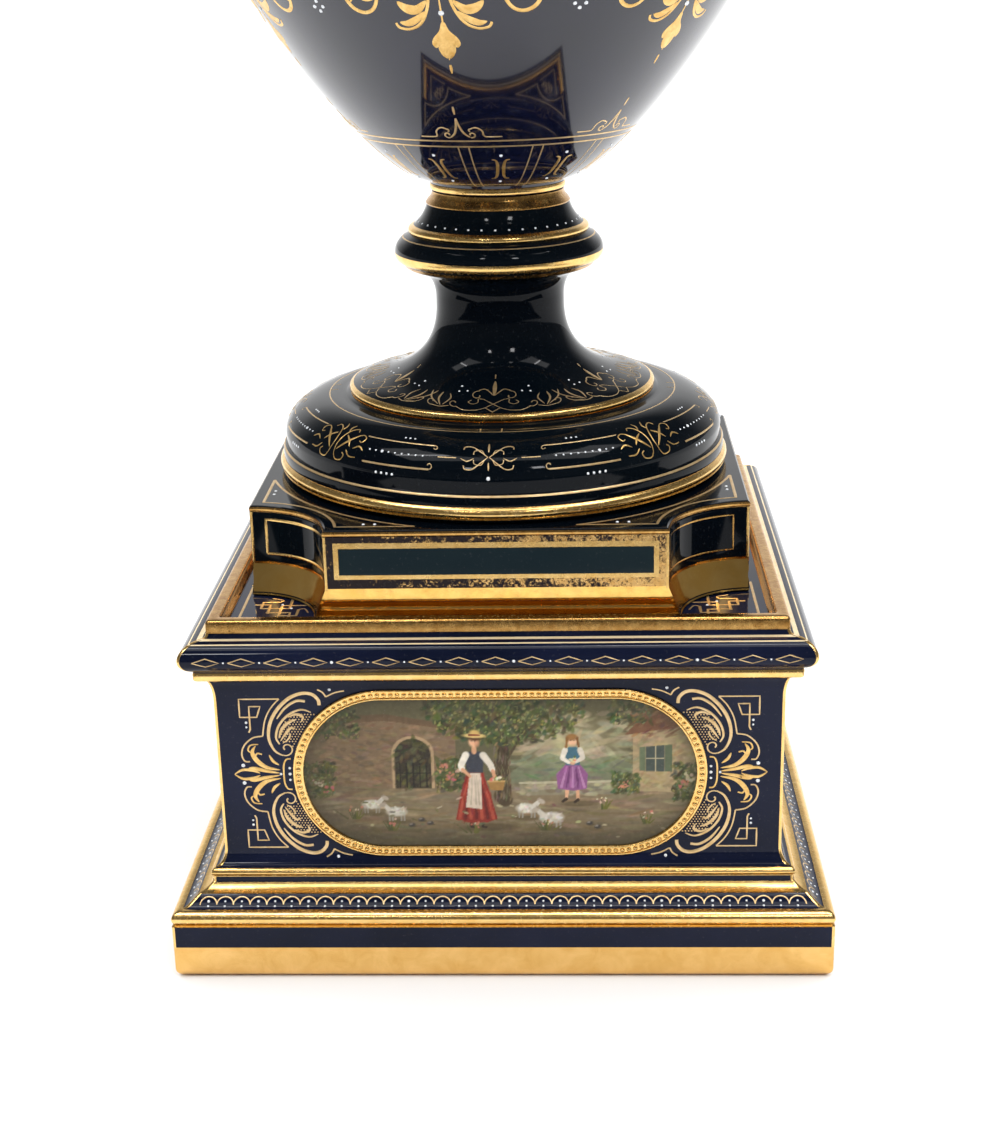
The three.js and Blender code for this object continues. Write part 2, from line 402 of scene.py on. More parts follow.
def foot_outline():
    """Collar, dome, disc, stem and knop, as heights above the slab's underside."""
    return (
        [(70.4, SLAB_TOP), (71.6, SLAB_TOP + 0.3), (72.5, 29.2)]
        + arc((COLLAR_RADIUS - 2.4, 31.0), 2.4, 2.0, -50, 60, 8)
        + [(71.9, 33.4), (71.9, 35.6), (71.5, 36.3), (70.6, 36.8), (70.7, 38.4)]
        + arc((51.8, 40.1), DOME_RADIUS - 51.8, 11.8, 2, 88, 32)
        + [(50.9, 51.95), (50.5, 52.2), (49.7, 52.5)]
        + arc((DISC_RADIUS - 0.95, 53.8), 0.95, 1.2, -70, 80, 8)
        + bend((48.2, 55.2), (46.0, 56.2), (44.0, 56.6), (41.0, 57.3), 4)
        + bend((41.0, 57.3), (28.5, 60.2), (STEM_RADIUS, 66.5), (STEM_RADIUS, 79.9), 26)[1:]
        + bend((STEM_RADIUS, 82.9), (21, 88.4), (23.5, 90.9), (29.5, 92), 14)
        + [(30.2, 92.5), (30.6, 93.2)]
        + bend((30.8, 93.4), (32.2, 94.0), (KNOP_RADIUS, 95.0), (KNOP_RADIUS, 96.6), 8)
        + arc((KNOP_RADIUS - 7.7, 97.1), 7.7, 5.9, 2, 58, 18)
        + [(28.9, 102.5)] + arc((27.4, 103.8), 1.3, 1.2, -50, 80, 6)
        + bend((26.9, 105.3), (24.6, 107.1), (23.4, 109.5), (22.6, 111.8), 12)
        + [(22.8, 112.2), (22.2, 113.2), (21.5, 113.9), (20.9, 114.8), (20.8, 115.9), (0, 115.9)]
    )


def foot_hollow():
    """The inside of the foot, from under the knop down to its open underside."""
    return [(0, 106.9), (12.6, 106.9), (12.6, 79.9), (14.6, 61.9), (28, 50.2), (50.4, 45.4),
            (62.9, 41.1), (62.9, 32.7), (55.8, 23.7), (55.8, 0)]


def body_outside():
    """Narrow ring, bowl, shoulder, neck and rolled rim, from the middle of the underside up."""
    return (
        [(0, 0), (SEAT_RADIUS, 0), (21.3, 0.4), (21.4, 0.9), (21.4, 1.6), (21.1, 2.2)]
        + bend((21.5, 3.1), (40, 3.7), (BOWL_RADIUS, 78.7), (BOWL_RADIUS, 109.7), 52)
        + bend((93.4, 118.7), (90, 140.7), (70, 159.7), (50, 166.7), 26)
        + bend((44, 169.3), (37.5, 173.2), (NECK_RADIUS, 179.7), (NECK_RADIUS, 189.7), 12)
        + bend((33.2, 199.7), (34.5, 215.7), (42, 225.7), (RIM_RADIUS - 1.2, 228.9), 16)
        + arc((RIM_RADIUS - 2.4, 231.5), 2.4, 2.2, -35, 90, 10)
    )


def body_inside():
    """The inside of the body, from the lip down to the middle of the bottom."""
    return (
        bend((47.5, 231.7), (36.8, 225.7), (28.7, 213.7), (28.5, 189.7), 14)
        + bend((28.5, 179.7), (31, 171.7), (36, 167.7), (47, 162.7), 8)
        + bend((68, 155.2), (86, 137.7), (89.5, 118.7), (89.5, 109.7), 14)
        + bend((89.2, 97.7), (82.5, 76.7), (40, 14.2), (16, 9.7), 22) + [(0, 8.7)]
    )


# ---------------------------------------------------------------- porcelain

def make_plinth():
    outline = []
    for _, points in plinth_runs():
        outline += [p for p in points if not outline or p != outline[-1]]
    bm = soften_mitres(turned(outline, square=True))
    finish_piece(bm, "plinth_porcelain", [PLINTH_GLAZE], ("plinth",),
                 smooth=40.0, weighted=True)


def ring_of(bm, points):
    """A closed loop of edges."""
    verts = [bm.verts.new(p) for p in points]
    return [bm.edges.new(pair) for pair in zip(verts, verts[1:] + verts[:1])]


def skin(bm, loops):
    """Faces from each loop of edges to the next."""
    for low, high in zip(loops, loops[1:]):
        bmesh.ops.bridge_loops(bm, edges=low + high)


# How far the slab's sides stand in at each level: bottom edge, shallow groove, face and top lip.
SLAB_LEVELS = [(0.3, 0.0), (0.0, 0.3), (0.0, 2.8), (0.1, 3.3), (0.28, 3.6), (0.28, 4.8), (0.1, 5.1),
               (0.0, 5.5), (0.0, 6.5), (0.0, 8.0), (0.0, 9.5), (0.0, 25.0), (0.3, 25.5), (0.35, 25.8),
               (0.0, 26.1), (-0.1, 26.8), (0.1, 27.3), (0.6, SLAB_TOP)]
FLARE_REACH, FLARE_TOP = 4.2, 9.5
BITE_STEPS = 24


def flare(level):
    """How far the bitten corners sweep outwards near the slab's underside."""
    return FLARE_REACH * max(0.0, 1.0 - level / FLARE_TOP) ** 2.2


def notched_square(inset, level):
    """The slab's outline at a level: a square with a round bite out of every corner."""
    radius = BITE_RADIUS + (inset - flare(level))
    start = math.asin(min(inset / radius, 1.0))
    quarter = []
    for i in range(BITE_STEPS + 1):
        angle = start + (math.pi / 2 - 2 * start) * i / BITE_STEPS
        quarter.append((SLAB_HALF - radius * math.cos(angle), radius * math.sin(angle) - SLAB_HALF))
    reach = quarter[0][0]
    side = [(reach * (2 * i / BITE_STEPS - 1), inset - SLAB_HALF) for i in range(1, BITE_STEPS)]
    points = []
    for turn in range(4):
        rotation = Matrix.Rotation(turn * math.pi / 2, 2)
        points += [rotation @ Vector(p) for p in side + quarter]
    return [(p.x, p.y, FOOT_BASE + level) for p in points]


def foot_circle(radius, level):
    """A circle of points on the foot."""
    angles = [math.tau * i / TURN_STEPS for i in range(TURN_STEPS)]
    return [(radius * math.cos(a), radius * math.sin(a), FOOT_BASE + level) for a in angles]


def make_foot():
    bm = bmesh.new()
    loops = [ring_of(bm, notched_square(inset, level)) for inset, level in SLAB_LEVELS]
    skin(bm, loops)
    skin(bm, [loops[-1], ring_of(bm, foot_circle(foot_outline()[0][0], SLAB_TOP))])
    skin(bm, [loops[0], ring_of(bm, foot_circle(foot_hollow()[-1][0], 0))])
    absorb(bm, turned(raised(foot_outline(), FOOT_BASE)))
    absorb(bm, turned(raised(foot_hollow(), FOOT_BASE)))
    # The slab's flat sides take the lighter glaze, a painted reflection of the pale floor.
    for face in bm.faces:
        middle = face.calc_center_median()
        if max(abs(middle.x), abs(middle.y)) > SLAB_HALF - 0.1:
            face.material_index = 1
    finish_piece(clean(bm), "foot_porcelain", [FOOT_GLAZE, PAINTED_SHEEN_GLAZE],
                 ("urn_foot",), smooth=38.0, weighted=True)


def make_body():
    bm = turned(raised(body_outside() + body_inside(), BODY_BASE))
    finish_piece(bm, "body_porcelain", [BODY_GLAZE], ("urn_body",),
                 smooth=50.0)


# ---------------------------------------------------------------- surfaces to draw on

class Course:
    """An outline measured along its length, so that a drawing can be laid on what it turns."""

    def __init__(self, outline, level=0.0):
        self.points = [Vector(p) for p in raised(outline, level)]
        self.level = level
        self.marks = [0.0]
        for low, high in zip(self.points, self.points[1:]):
            self.marks.append(self.marks[-1] + (high - low).length)

    def find(self, height):
        """Distance along the outline where it last rises through a height over the level."""
        found = 0.0
        for i, (low, high) in enumerate(zip(self.points, self.points[1:])):
            if low.y <= height + self.level < high.y:
                part = (height + self.level - low.y) / (high.y - low.y)
                found = self.marks[i] + part * (self.marks[i + 1] - self.marks[i])
        return found

    def at(self, distance):
        """Point and outward normal of the outline."""
        i = min(max(bisect.bisect_right(self.marks, distance) - 1, 0), len(self.points) - 2)
        run = self.points[i + 1] - self.points[i]
        part = (distance - self.marks[i]) / max(run.length, 1e-6)
        run_unit = run.normalized()
        return self.points[i] + run * part, Vector((run_unit.y, -run_unit.x))

    def stretch(self, start, end):
        """The part of the outline between two distances."""
        inner = [p for p, mark in zip(self.points, self.marks) if start < mark < end]
        return [tuple(p) for p in [self.at(start)[0]] + inner + [self.at(end)[0]]]

    def round_about(self, start, azimuth):
        """Lay a drawing round the axis: x runs to the right and y up the outline."""
        def put(x, y, h):
            point, normal = self.at(start + y)
            turn = math.radians(azimuth - 90) + x / max(point.x, 1.0)
            reach = point.x + normal.x * h
            return Vector((reach * math.cos(turn), reach * math.sin(turn), point.y + normal.y * h))
        return put

    def band(self, level, width):
        """The part of the outline this wide that lies about a level."""
        middle = self.find(level)
        return self.stretch(middle - width / 2, middle + width / 2)

    def side(self, start, face):
        """Lay a drawing on one side of a square moulding: 0 is the front, 1 the right."""
        turn = Matrix.Rotation(face * math.pi / 2, 3, "Z")

        def put(x, y, h):
            point, normal = self.at(start + y)
            return turn @ Vector((x, -(point.x + normal.x * h), point.y + normal.y * h))
        return put


def flat(origin, right, up):
    """Lay a drawing on a plane."""
    origin, right, up = Vector(origin), Vector(right), Vector(up)
    out = right.cross(up)
    return lambda x, y, h: origin + right * x + up * y + out * h


def in_bite(level, corner):
    """Lay a drawing in one of the slab's round bites, looked at from outside."""
    turn = Matrix.Rotation(corner * math.pi / 2, 3, "Z")

    def put(x, y, h):
        angle = math.radians(135) - x / BITE_RADIUS
        reach = BITE_RADIUS - h
        return turn @ Vector((SLAB_HALF + reach * math.cos(angle),
                              reach * math.sin(angle) - SLAB_HALF, level + y))
    return put


# ---------------------------------------------------------------- brushwork

def flow(*points):
    """A smooth line through a few points."""
    knots = [Vector(p) for p in (points[0], *points, points[-1])]
    line = []
    for a, b, c, d in zip(knots, knots[1:], knots[2:], knots[3:]):
        line += geometry.interpolate_bezier(b, b + (c - a) / 6, c - (d - b) / 6, c, 6)[:-1]
    return [tuple(p) for p in line] + [tuple(points[-1])]


def straight(*points):
    """Straight runs from corner to corner, with a point every 2 mm to follow a curved ground."""
    line = []
    for start, end in zip(points, points[1:]):
        start, end = Vector(start), Vector(end)
        count = max(1, round((end - start).length / 2.0))
        line += [tuple(start.lerp(end, i / count)) for i in range(count)]
    return line + [tuple(points[-1])]


def curl(centre, radius_start, radius_end, angle_start, angle_end, steps=14):
    """A spiral about a centre, angles in degrees."""
    line = []
    for i in range(steps + 1):
        part = i / steps
        radius = radius_start + (radius_end - radius_start) * part
        angle = math.radians(angle_start + (angle_end - angle_start) * part)
        line.append((centre[0] + radius * math.cos(angle), centre[1] + radius * math.sin(angle)))
    return line


class Drawing:
    """Strokes and dots in millimetres on a flat sheet, before they are laid on the porcelain."""

    def __init__(self):
        self.strokes = []
        self.dots = []
        self.mesh = None

    def stroke(self, line, width=0.5, start=None, end=None):
        """A brush line, its width swelling or thinning from start through the middle to the end."""
        start = width if start is None else start
        end = width if end is None else end
        count = len(line) - 1
        widths = []
        for i in range(count + 1):
            part = i / count
            edge = start if part < 0.5 else end
            widths.append(edge + (width - edge) * math.sin(math.pi * part) ** 0.8)
        self.strokes.append([(x, y, w) for (x, y), w in zip(line, widths)])
        return self

    def leaf(self, line, width):
        """A stroke that comes to a point at both ends."""
        return self.stroke(line, width, 0.12, 0.12)

    def dot(self, x, y, radius=0.4):
        self.dots.append((x, y, radius))
        return self

    def changed(self, change):
        """A copy with every point moved by change(x, y)."""
        copy = Drawing()
        copy.strokes = [[(*change(x, y), w) for x, y, w in stroke] for stroke in self.strokes]
        copy.dots = [(*change(x, y), radius) for x, y, radius in self.dots]
        return copy

    def finer(self, share):
        """This drawing with its strokes narrowed to a share of their width."""
        self.strokes = [[(x, y, w * share) for x, y, w in stroke] for stroke in self.strokes]
        return self

    def add(self, other):
        """This drawing with another over it."""
        self.strokes += other.strokes
        self.dots += other.dots
        return self

    def mirrored(self, in_x=True, in_y=False):
        """This drawing with its reflection beside it."""
        if in_x:
            self.add(self.changed(lambda x, y: (-x, y)))
        if in_y:
            self.add(self.changed(lambda x, y: (x, -y)))
        return self

    def ribbons(self):
        """All strokes as one flat mesh of low ridged ribbons."""
        curve = bpy.data.curves.new("strokes", "CURVE")
        curve.dimensions = "3D"
        curve.twist_mode = "Z_UP"
        curve.bevel_depth = 1.0
        curve.bevel_resolution = 0
        curve.use_fill_caps = True
        for stroke in self.strokes:
            spline = curve.splines.new("POLY")
            spline.points.add(len(stroke) - 1)
            for point, (x, y, width) in zip(spline.points, stroke):
                point.co = (x, y, 0, 1)
                point.radius = width / 2
        carrier = bpy.data.objects.new("strokes", curve)
        mesh = bpy.data.meshes.new_from_object(carrier)
        bpy.data.objects.remove(carrier)
        bpy.data.curves.remove(curve)
        return mesh

    def lay(self, gold, put, slot, white=None):
        """Lay the strokes on a surface in gold, and the dots in white enamel when it is given."""
        self.mesh = self.mesh or self.ribbons()
        bm = bmesh.new()
        bm.from_mesh(self.mesh)
        for vert in bm.verts:
            height = BRUSH_RELIEF * math.tanh(vert.co.z / 0.3)
            vert.co = put(vert.co.x, vert.co.y, height + BRUSH_LIFT)
        absorb(gold, bm, slot)
        if white is not None:
            for x, y, radius in self.dots:
                bead(white, put, x, y, radius)


def bead(bm, put, x, y, radius, slot=0, flatness=0.6):
    """A small low dome of enamel or gold."""
    foot = put(x, y, 0)
    tilt = (put(x, y, 1.0) - foot).to_track_quat("Z", "Y").to_matrix().to_4x4()
    shape = Matrix.Translation(foot) @ tilt @ Matrix.Diagonal((1, 1, flatness, 1))
    drop = bmesh.new()
    bmesh.ops.create_uvsphere(drop, u_segments=8, v_segments=4, radius=radius, matrix=shape)
    absorb(bm, drop, slot)


def inside(x, y, corners):
    """Whether a point, or each point of a field, lies within an outline."""
    within = np.zeros(np.shape(x), bool)
    for (x0, y0), (x1, y1) in zip(corners, corners[1:] + corners[:1]):
        if y0 != y1:
            within ^= ((y0 > y) != (y1 > y)) & (x < (x1 - x0) * (y - y0) / (y1 - y0) + x0)
    return within


def quarter_turns(count):
    """A change that turns a drawing about the axis by whole quarters."""
    rotation = Matrix.Rotation(count * math.pi / 2, 2)
    return lambda x, y: tuple(rotation @ Vector((x, y)))


# ---------------------------------------------------------------- plinth gilding

# The last slot, pale gold, is a painted highlight.
GOLD_SLOTS = [SMOOTH_GOLD, BRIGHT_GOLD, RUBBED_GOLD, WORN_GOLD, LINE_GOLD, LEAF_GOLD, POLISHED_GOLD,
              PAINTED_HIGHLIGHT_GOLD]
SMOOTH, BRIGHT, RUBBED, WORN, LINE, LEAF, POLISHED, PAINTED_HIGHLIGHT = range(len(GOLD_SLOTS))


def finish_gilding(gold, white, part):
    """Finish the gold and the enamel of one part."""
    finish_piece(gold, f"{part}_gilding", GOLD_SLOTS, smooth=40.0)
    finish_piece(white, f"{part}_enamel_dots", [WHITE_ENAMEL], smooth=60.0)


def mitre_strips(run, width):
    """Gilt strips down the four mitres over one run of the plinth's outline."""
    parts = []
    for sign in (1, -1):
        bm = gilt_ring(run, square=True)
        for side in (1, -1):
            geom = list(bm.verts) + list(bm.edges) + list(bm.faces)
            cut = bmesh.ops.bisect_plane(bm, geom=geom, plane_co=(side * width, 0, 0),
                                         plane_no=(side, side * sign, 0), clear_outer=True)
            rim = [e for e in cut["geom_cut"] if isinstance(e, bmesh.types.BMEdge)]
            bmesh.ops.holes_fill(bm, edges=rim)
        parts.append(bm)
    return parts


def key_square():
    """The corner fret with its tail and hooked scroll, in the dado's upper right quarter."""
    d = Drawing()
    d.stroke(straight((65.3, 24.7), (77.4, 24.7), (77.4, 18.8), (72.3, 18.8), (71.1, 22.3),
                      (74.5, 22.3), (74.5, 14.8), (75.0, 13.8)), 0.55)
    d.stroke(flow((65.3, 24.7), (67.9, 21.8), (69.9, 17.8), (70.9, 12.6)), 0.5)
    d.stroke(flow((70.9, 12.6), (74.0, 12.0), (76.7, 9.5), (77.6, 6.6), (76.8, 4.4), (75.3, 4.2)), 0.55)
    return d


def side_scroll():
    """The leafed scroll that hugs the painted panel's end, in the same quarter."""
    d = Drawing()
    d.stroke(flow((53.3, 22.6), (53.6, 24.4), (55.4, 26.2), (58.4, 26.5), (62.3, 24.9), (66.0, 21.3),
                  (68.4, 16.9), (69.1, 12.0), (67.6, 7.9), (65.2, 6.2)), 1.25, 1.1, 0.45)
    d.stroke(curl((64.0, 8.5), 2.5, 0.5, -60, -400, 18), 0.5, 0.45, 0.6)
    d.stroke(flow((57.5, 23.9), (60.2, 24.0), (63.6, 21.8), (66.3, 18.2)), 0.95, 0.9, 0.3)
    d.stroke(flow((55.9, 20.3), (58.9, 21.2), (62.8, 19.5), (65.8, 16.0), (66.9, 12.2), (65.9, 9.9)),
             0.85, 0.35, 0.5)
    d.leaf(flow((66.0, 11.8), (65.0, 14.8), (62.6, 17.2), (60.3, 18.0)), 1.15)
    d.leaf(flow((65.6, 10.9), (63.9, 13.4), (62.3, 15.2), (60.9, 14.9)), 0.95)
    d.leaf(flow((63.0, 18.7), (60.6, 19.7), (58.5, 18.9), (58.9, 17.2)), 1.0)
    d.leaf(flow((65.0, 10.2), (63.6, 11.2), (62.6, 12.6), (62.9, 13.6)), 0.6)
    d.stroke(flow((45.6, 27.3), (48.4, 26.7), (51.2, 25.3)), 0.5)
    d.stroke(flow((51.2, 25.3), (52.1, 26.8), (53.6, 27.8)), 0.55)
    return d


def half_palmette():
    """The upper half of the palmette beyond one end of the painted panel."""
    d = Drawing()
    d.stroke(flow((62.9, 5.1), (64.3, 4.8), (65.1, 2.9), (65.25, 0.0)), 0.5)
    d.leaf(flow((66.2, 1.4), (70.4, 2.3), (73.1, 4.5), (74.4, 7.2), (73.3, 9.4)), 1.5)
    d.stroke(flow((74.3, 7.0), (75.6, 7.9), (74.8, 9.6), (72.4, 9.9)), 0.5, 0.3, 0.3)
    d.stroke(flow((71.5, 6.6), (72.9, 6.9), (73.6, 5.8)), 0.55, 0.5, 0.3)
    d.leaf(flow((66.5, 3.0), (68.3, 4.4), (69.3, 6.4)), 0.9)
    d.leaf(flow((66.4, 0.35), (70.6, 1.1), (74.6, 2.0), (76.2, 1.4)), 1.2)
    d.leaf(flow((72.4, 0.3), (74.4, 1.2), (77.6, 1.5), (80.2, 0.0)), 0.95)
    return d


def stippling():
    """Small gold points in staggered rows, filling the pocket of a side scroll."""
    pocket = [(57.0, 19.9), (59.0, 20.6), (62.6, 18.8), (65.4, 15.6), (66.3, 12.3), (65.0, 9.8),
              (62.4, 10.9), (61.6, 6.5), (50.0, 6.0), (50.0, 19.9)]
    end_radius = MEDALLION_HEIGHT / 2
    end_centre = MEDALLION_WIDTH / 2 - end_radius
    pitch = 0.92
    spots = []
    for row in range(18):
        for column in range(20):
            x = 50.0 + pitch * (column + 0.5 * (row % 2))
            y = 6.0 + pitch * 0.87 * row
            if inside(x, y, pocket) and math.hypot(x - end_centre, y) > end_radius + 0.5:
                spots.append((x, y))
    return spots


def dado_dots():
    """Enamel dots of one end of the dado: place and radius, those clear of the scrolls first."""
    spots = [(77.4, 2.9, 0.62), (75.6, 17.0, 0.42), (75.6, 15.5, 0.34), (50.0, 27.7, 0.5),
             (63.35, 1.95, 0.42)]
    return spots + [(x, -y, radius) for x, y, radius in spots] + [(63.35, 0, 0.5), (66.1, 0, 0.42)]


def front_drawing():
    """Key corners and side scrolls round the painted panel."""
    d = key_square().add(side_scroll()).mirrored(True, True).finer(0.88)
    d.dots = [(side * x, y, radius) for x, y, radius in dado_dots() for side in (1, -1)]
    return d


def plain_drawing():
    """Key corners and a long oval line, for the sides and the back."""
    d = key_square().mirrored(True, True)
    d.dots = [(side * x, end * y, radius) for x, y, radius in dado_dots()[:3]
              for side in (1, -1) for end in (1, -1)]
    reach, radius = 58, 22.3
    for level in (radius, -radius):
        d.stroke(straight((-reach, level), (reach, level)), 0.5)
    d.stroke(curl((reach, 0), radius, radius, 90, -90, 40), 0.5)
    return d.stroke(curl((-reach, 0), radius, radius, 90, 270, 40), 0.5)


def lozenge_row():
    """Long lozenges with an enamel dot between them, every fifth dot a larger one."""
    lozenge = Drawing().stroke(straight((-4.0, 0), (0, 1.3), (4.0, 0), (0, -1.3), (-4.0, 0)), 0.3)
    pitch = 10.6
    d = Drawing()
    for i in range(-8, 9):
        d.add(lozenge.changed(lambda x, y, i=i: (x + pitch * i, y)))
        if i < 8:
            d.dot(pitch * (i + 0.5), 0, 0.3 + 0.18 * (i % 5 == 0))
    return d


def scallop_row():
    """Half rounds side by side, each with a dot inside it and one above."""
    angles = [math.pi * k / 10 for k in range(11)]
    pitch = 5.1
    d = Drawing()
    for i in range(-18, 18):
        centre = pitch * (i + 0.5)
        half_round = [(centre + pitch / 2 * math.cos(a), 1.5 + 2.6 * math.sin(a)) for a in angles]
        d.stroke(half_round, 0.4, 0.3, 0.3)
        d.dot(centre, 2.6, 0.34 + 0.12 * (i % 3 == 0)).dot(centre, 1.0, 0.36)
    return d


def gild_mouldings(gold):
    """The gilt mouldings right round the plinth, and gold down the mitres of the glazed ones."""
    slots = {"skirt": SMOOTH, "bead": BRIGHT, "rim": RUBBED, "inner": POLISHED}
    runs = plinth_runs()
    for index, (finish, points) in enumerate(runs):
        if finish in slots:
            absorb(gold, gilt_ring(points, square=True), slots[finish])
        elif 0 < index < len(runs) - 1:
            for strip in mitre_strips(points, 0.9):
                absorb(gold, strip, BRIGHT)


def tray_corner():
    """Interlaced fret on the tray floor, in the corner that a bite of the slab leaves open."""
    d = Drawing()
    edge, radius = 77.6, BITE_RADIUS - 2.1
    d.stroke(straight((46.0, -edge), (edge, -edge), (edge, -46.0)), 0.8)
    angles = [math.radians(8 + 74 * k / 24) for k in range(25)]
    d.stroke([(SLAB_HALF - radius * math.cos(a), radius * math.sin(a) - SLAB_HALF) for a in angles], 0.7)
    half = Drawing()
    half.stroke(straight((60.6, -67.0), (60.6, -72.2), (66.0, -72.2), (66.0, -63.5), (57.5, -63.5)), 0.85)
    half.stroke(straight((62.8, -74.6), (62.8, -69.6), (70.2, -69.6)), 0.85)
    half.stroke(flow((60.6, -67.0), (58.8, -66.4), (57.3, -69.8)), 0.5)
    d.add(half)
    d.add(half.changed(lambda x, y: (-y, -x)))
    return d.dot(62.9, -66.0, 0.45).dot(66.0, -62.9, 0.45)


def make_plinth_gilding():
    gold, white = bmesh.new(), bmesh.new()
    gild_mouldings(gold)
    runs = dict(plinth_runs())
    ogee, dado, cap = (Course(runs[name]) for name in ("ogee", "dado", "cap"))

    middle = dado.find(MEDALLION_LEVEL)
    put = dado.side(middle, 0)
    front_drawing().lay(gold, put, LINE, white)
    half_palmette().mirrored(True, True).lay(gold, put, LEAF)
    for x, y in stippling():
        for side in (1, -1):
            for end in (1, -1):
                bead(gold, put, side * x, end * y, 0.27, LINE)
    plain = plain_drawing()
    for face in (1, 2, 3):
        plain.lay(gold, dado.side(middle, face), LINE, white)

    lozenges, scallops = lozenge_row(), scallop_row()
    for face in range(4):
        lozenges.lay(gold, cap.side(cap.find(CAP_LEVEL - 0.2), face), LINE, white)
        scallops.lay(gold, ogee.side(0.3, face), LINE, white)
    # Two pale gold rings on the cap. The lower is a gilt line coloured as its own highlight. The upper is a
    # painted highlight along the ledge under the rim.
    for level, width in ((105.6, 0.55), (106.1, 1.5)):
        absorb(gold, gilt_ring(cap.band(level, width), square=True), PAINTED_HIGHLIGHT)

    corner = tray_corner()
    floor = flat((0, 0, TRAY_FLOOR), (1, 0, 0), (0, 1, 0))
    for turn in range(4):
        corner.changed(quarter_turns(turn)).lay(gold, floor, LINE, white)
    finish_gilding(gold, white, "plinth")


def stadium(inset, depth):
    """The oval border's path on the front of the plinth, at a depth out from the dado."""
    radius = MEDALLION_HEIGHT / 2 - inset
    reach = MEDALLION_WIDTH / 2 - MEDALLION_HEIGHT / 2
    points = []
    for side, start in ((1, -90), (-1, 90)):
        for i in range(37):
            a = math.radians(start + 5 * i)
            points.append((side * reach + radius * math.cos(a), -(DADO_HALF + depth),
                           MEDALLION_LEVEL + radius * math.sin(a)))
    return points


BEAD_PITCH, BEAD_RADIUS = 2.0, 0.78


def make_medallion():
    """The raised oval border: two smooth rims with a row of beads between them."""
    bm = bmesh.new()
    band = MEDALLION_BAND
    section = [(0, -0.4), (0, 0.6), (0.12, 0.85), (0.4, 0.95), (0.68, 0.85), (0.8, 0.5),
               (band - 0.8, 0.5), (band - 0.68, 0.85), (band - 0.4, 0.95), (band - 0.12, 0.85),
               (band, 0.6), (band, -0.4)]
    loops = [ring_of(bm, stadium(inset, depth)) for inset, depth in section]
    skin(bm, loops + [loops[0]])
    middle = [(x, z) for x, _, z in stadium(band / 2, 0)]
    path = Course(middle + middle[:1])
    count = round(path.marks[-1] / BEAD_PITCH)
    front = flat((0, -DADO_HALF, 0), (1, 0, 0), (0, 0, 1))
    for i in range(count):
        point, _ = path.at(path.marks[-1] * i / count)
        bead(bm, lambda x, y, h: front(x, y, h + 0.5), point.x, point.y, BEAD_RADIUS, flatness=0.75)
    finish_piece(clean(bm), "medallion_frame", [BRIGHT_GOLD], smooth=45.0)


# ---------------------------------------------------------------- foot gilding

def slab_ring(low, high):
    """A gilt skin right round the slab, bites and all, between two levels."""
    bm = bmesh.new()
    levels = [low + (high - low) * i / 14 for i in range(15)]
    loops = [ring_of(bm, notched_square(slab_inset(z) - GILT_PROUD, z)) for z in levels]
    loops += [ring_of(bm, notched_square(slab_inset(z) + GILT_SUNK, z)) for z in (high, low)]
    skin(bm, loops + [loops[0]])
    return clean(bm)


def slab_inset(level):
    """How far the slab's side stands in at a level, read off its own outline."""
    for (a, za), (b, zb) in zip(SLAB_LEVELS, SLAB_LEVELS[1:]):
        if za <= level <= zb:
            return a + (b - a) * (level - za) / max(zb - za, 1e-6)
    return SLAB_LEVELS[-1][0]


def oblong(half, low, high):
    """The outline of an upright oblong, with points along its sides."""
    corners = [Vector(c) for c in ((-half, low), (half, low), (half, high), (-half, high))]
    return [start.lerp(end, i / 8) for start, end in zip(corners, corners[1:] + corners[:1])
            for i in range(8)]


def framed_plate(put, outer, inner, thickness=0.05):
    """A flat gilt frame between two oblongs, each given as half width, bottom and top."""
    bm = bmesh.new()
    edges = []
    for edge in (outer, inner):
        edges += ring_of(bm, [(p.x, p.y, -GILT_SUNK) for p in oblong(*edge)])
    bmesh.ops.triangle_fill(bm, edges=edges, use_beauty=True)
    grown = bmesh.ops.extrude_face_region(bm, geom=bm.faces[:])
    for vert in grown["geom"]:
        if isinstance(vert, bmesh.types.BMVert):
            vert.co.z = thickness
    for vert in bm.verts:
        vert.co = put(*vert.co)
    bmesh.ops.recalc_face_normals(bm, faces=bm.faces)
    return bm


def spandrel():
    """The gold figure on the slab's top between a bite and the collar, lower right corner."""
    d = Drawing()
    margin, ring = 4.0, COLLAR_RADIUS + 3.3
    outer, bite = SLAB_HALF - margin, BITE_RADIUS + 3.6
    low, high = math.asin(margin / bite), math.pi / 2 - math.asin(margin / bite)
    angles = [low + (high - low) * i / 20 for i in range(21)]
    edge = [(SLAB_HALF - bite * math.cos(a), bite * math.sin(a) - SLAB_HALF) for a in angles]
    along = math.sqrt(ring ** 2 - outer ** 2)
    start, end = math.atan2(-outer, along), math.atan2(-along, outer)
    angles = [start + (end - start) * i / 24 for i in range(25)]
    hollow = [(ring * math.cos(a), ring * math.sin(a)) for a in angles]
    d.stroke(straight(hollow[0], edge[0]) + edge[1:] + straight(edge[-1], hollow[-1])[1:], 0.9)
    d.stroke(hollow, 0.85)
    middle = (along + edge[0][0]) / 2
    for shift in (0.2, 3.6):
        d.dot(middle + shift, -70.4, 0.5).dot(70.4, -middle - shift, 0.5)
    return d


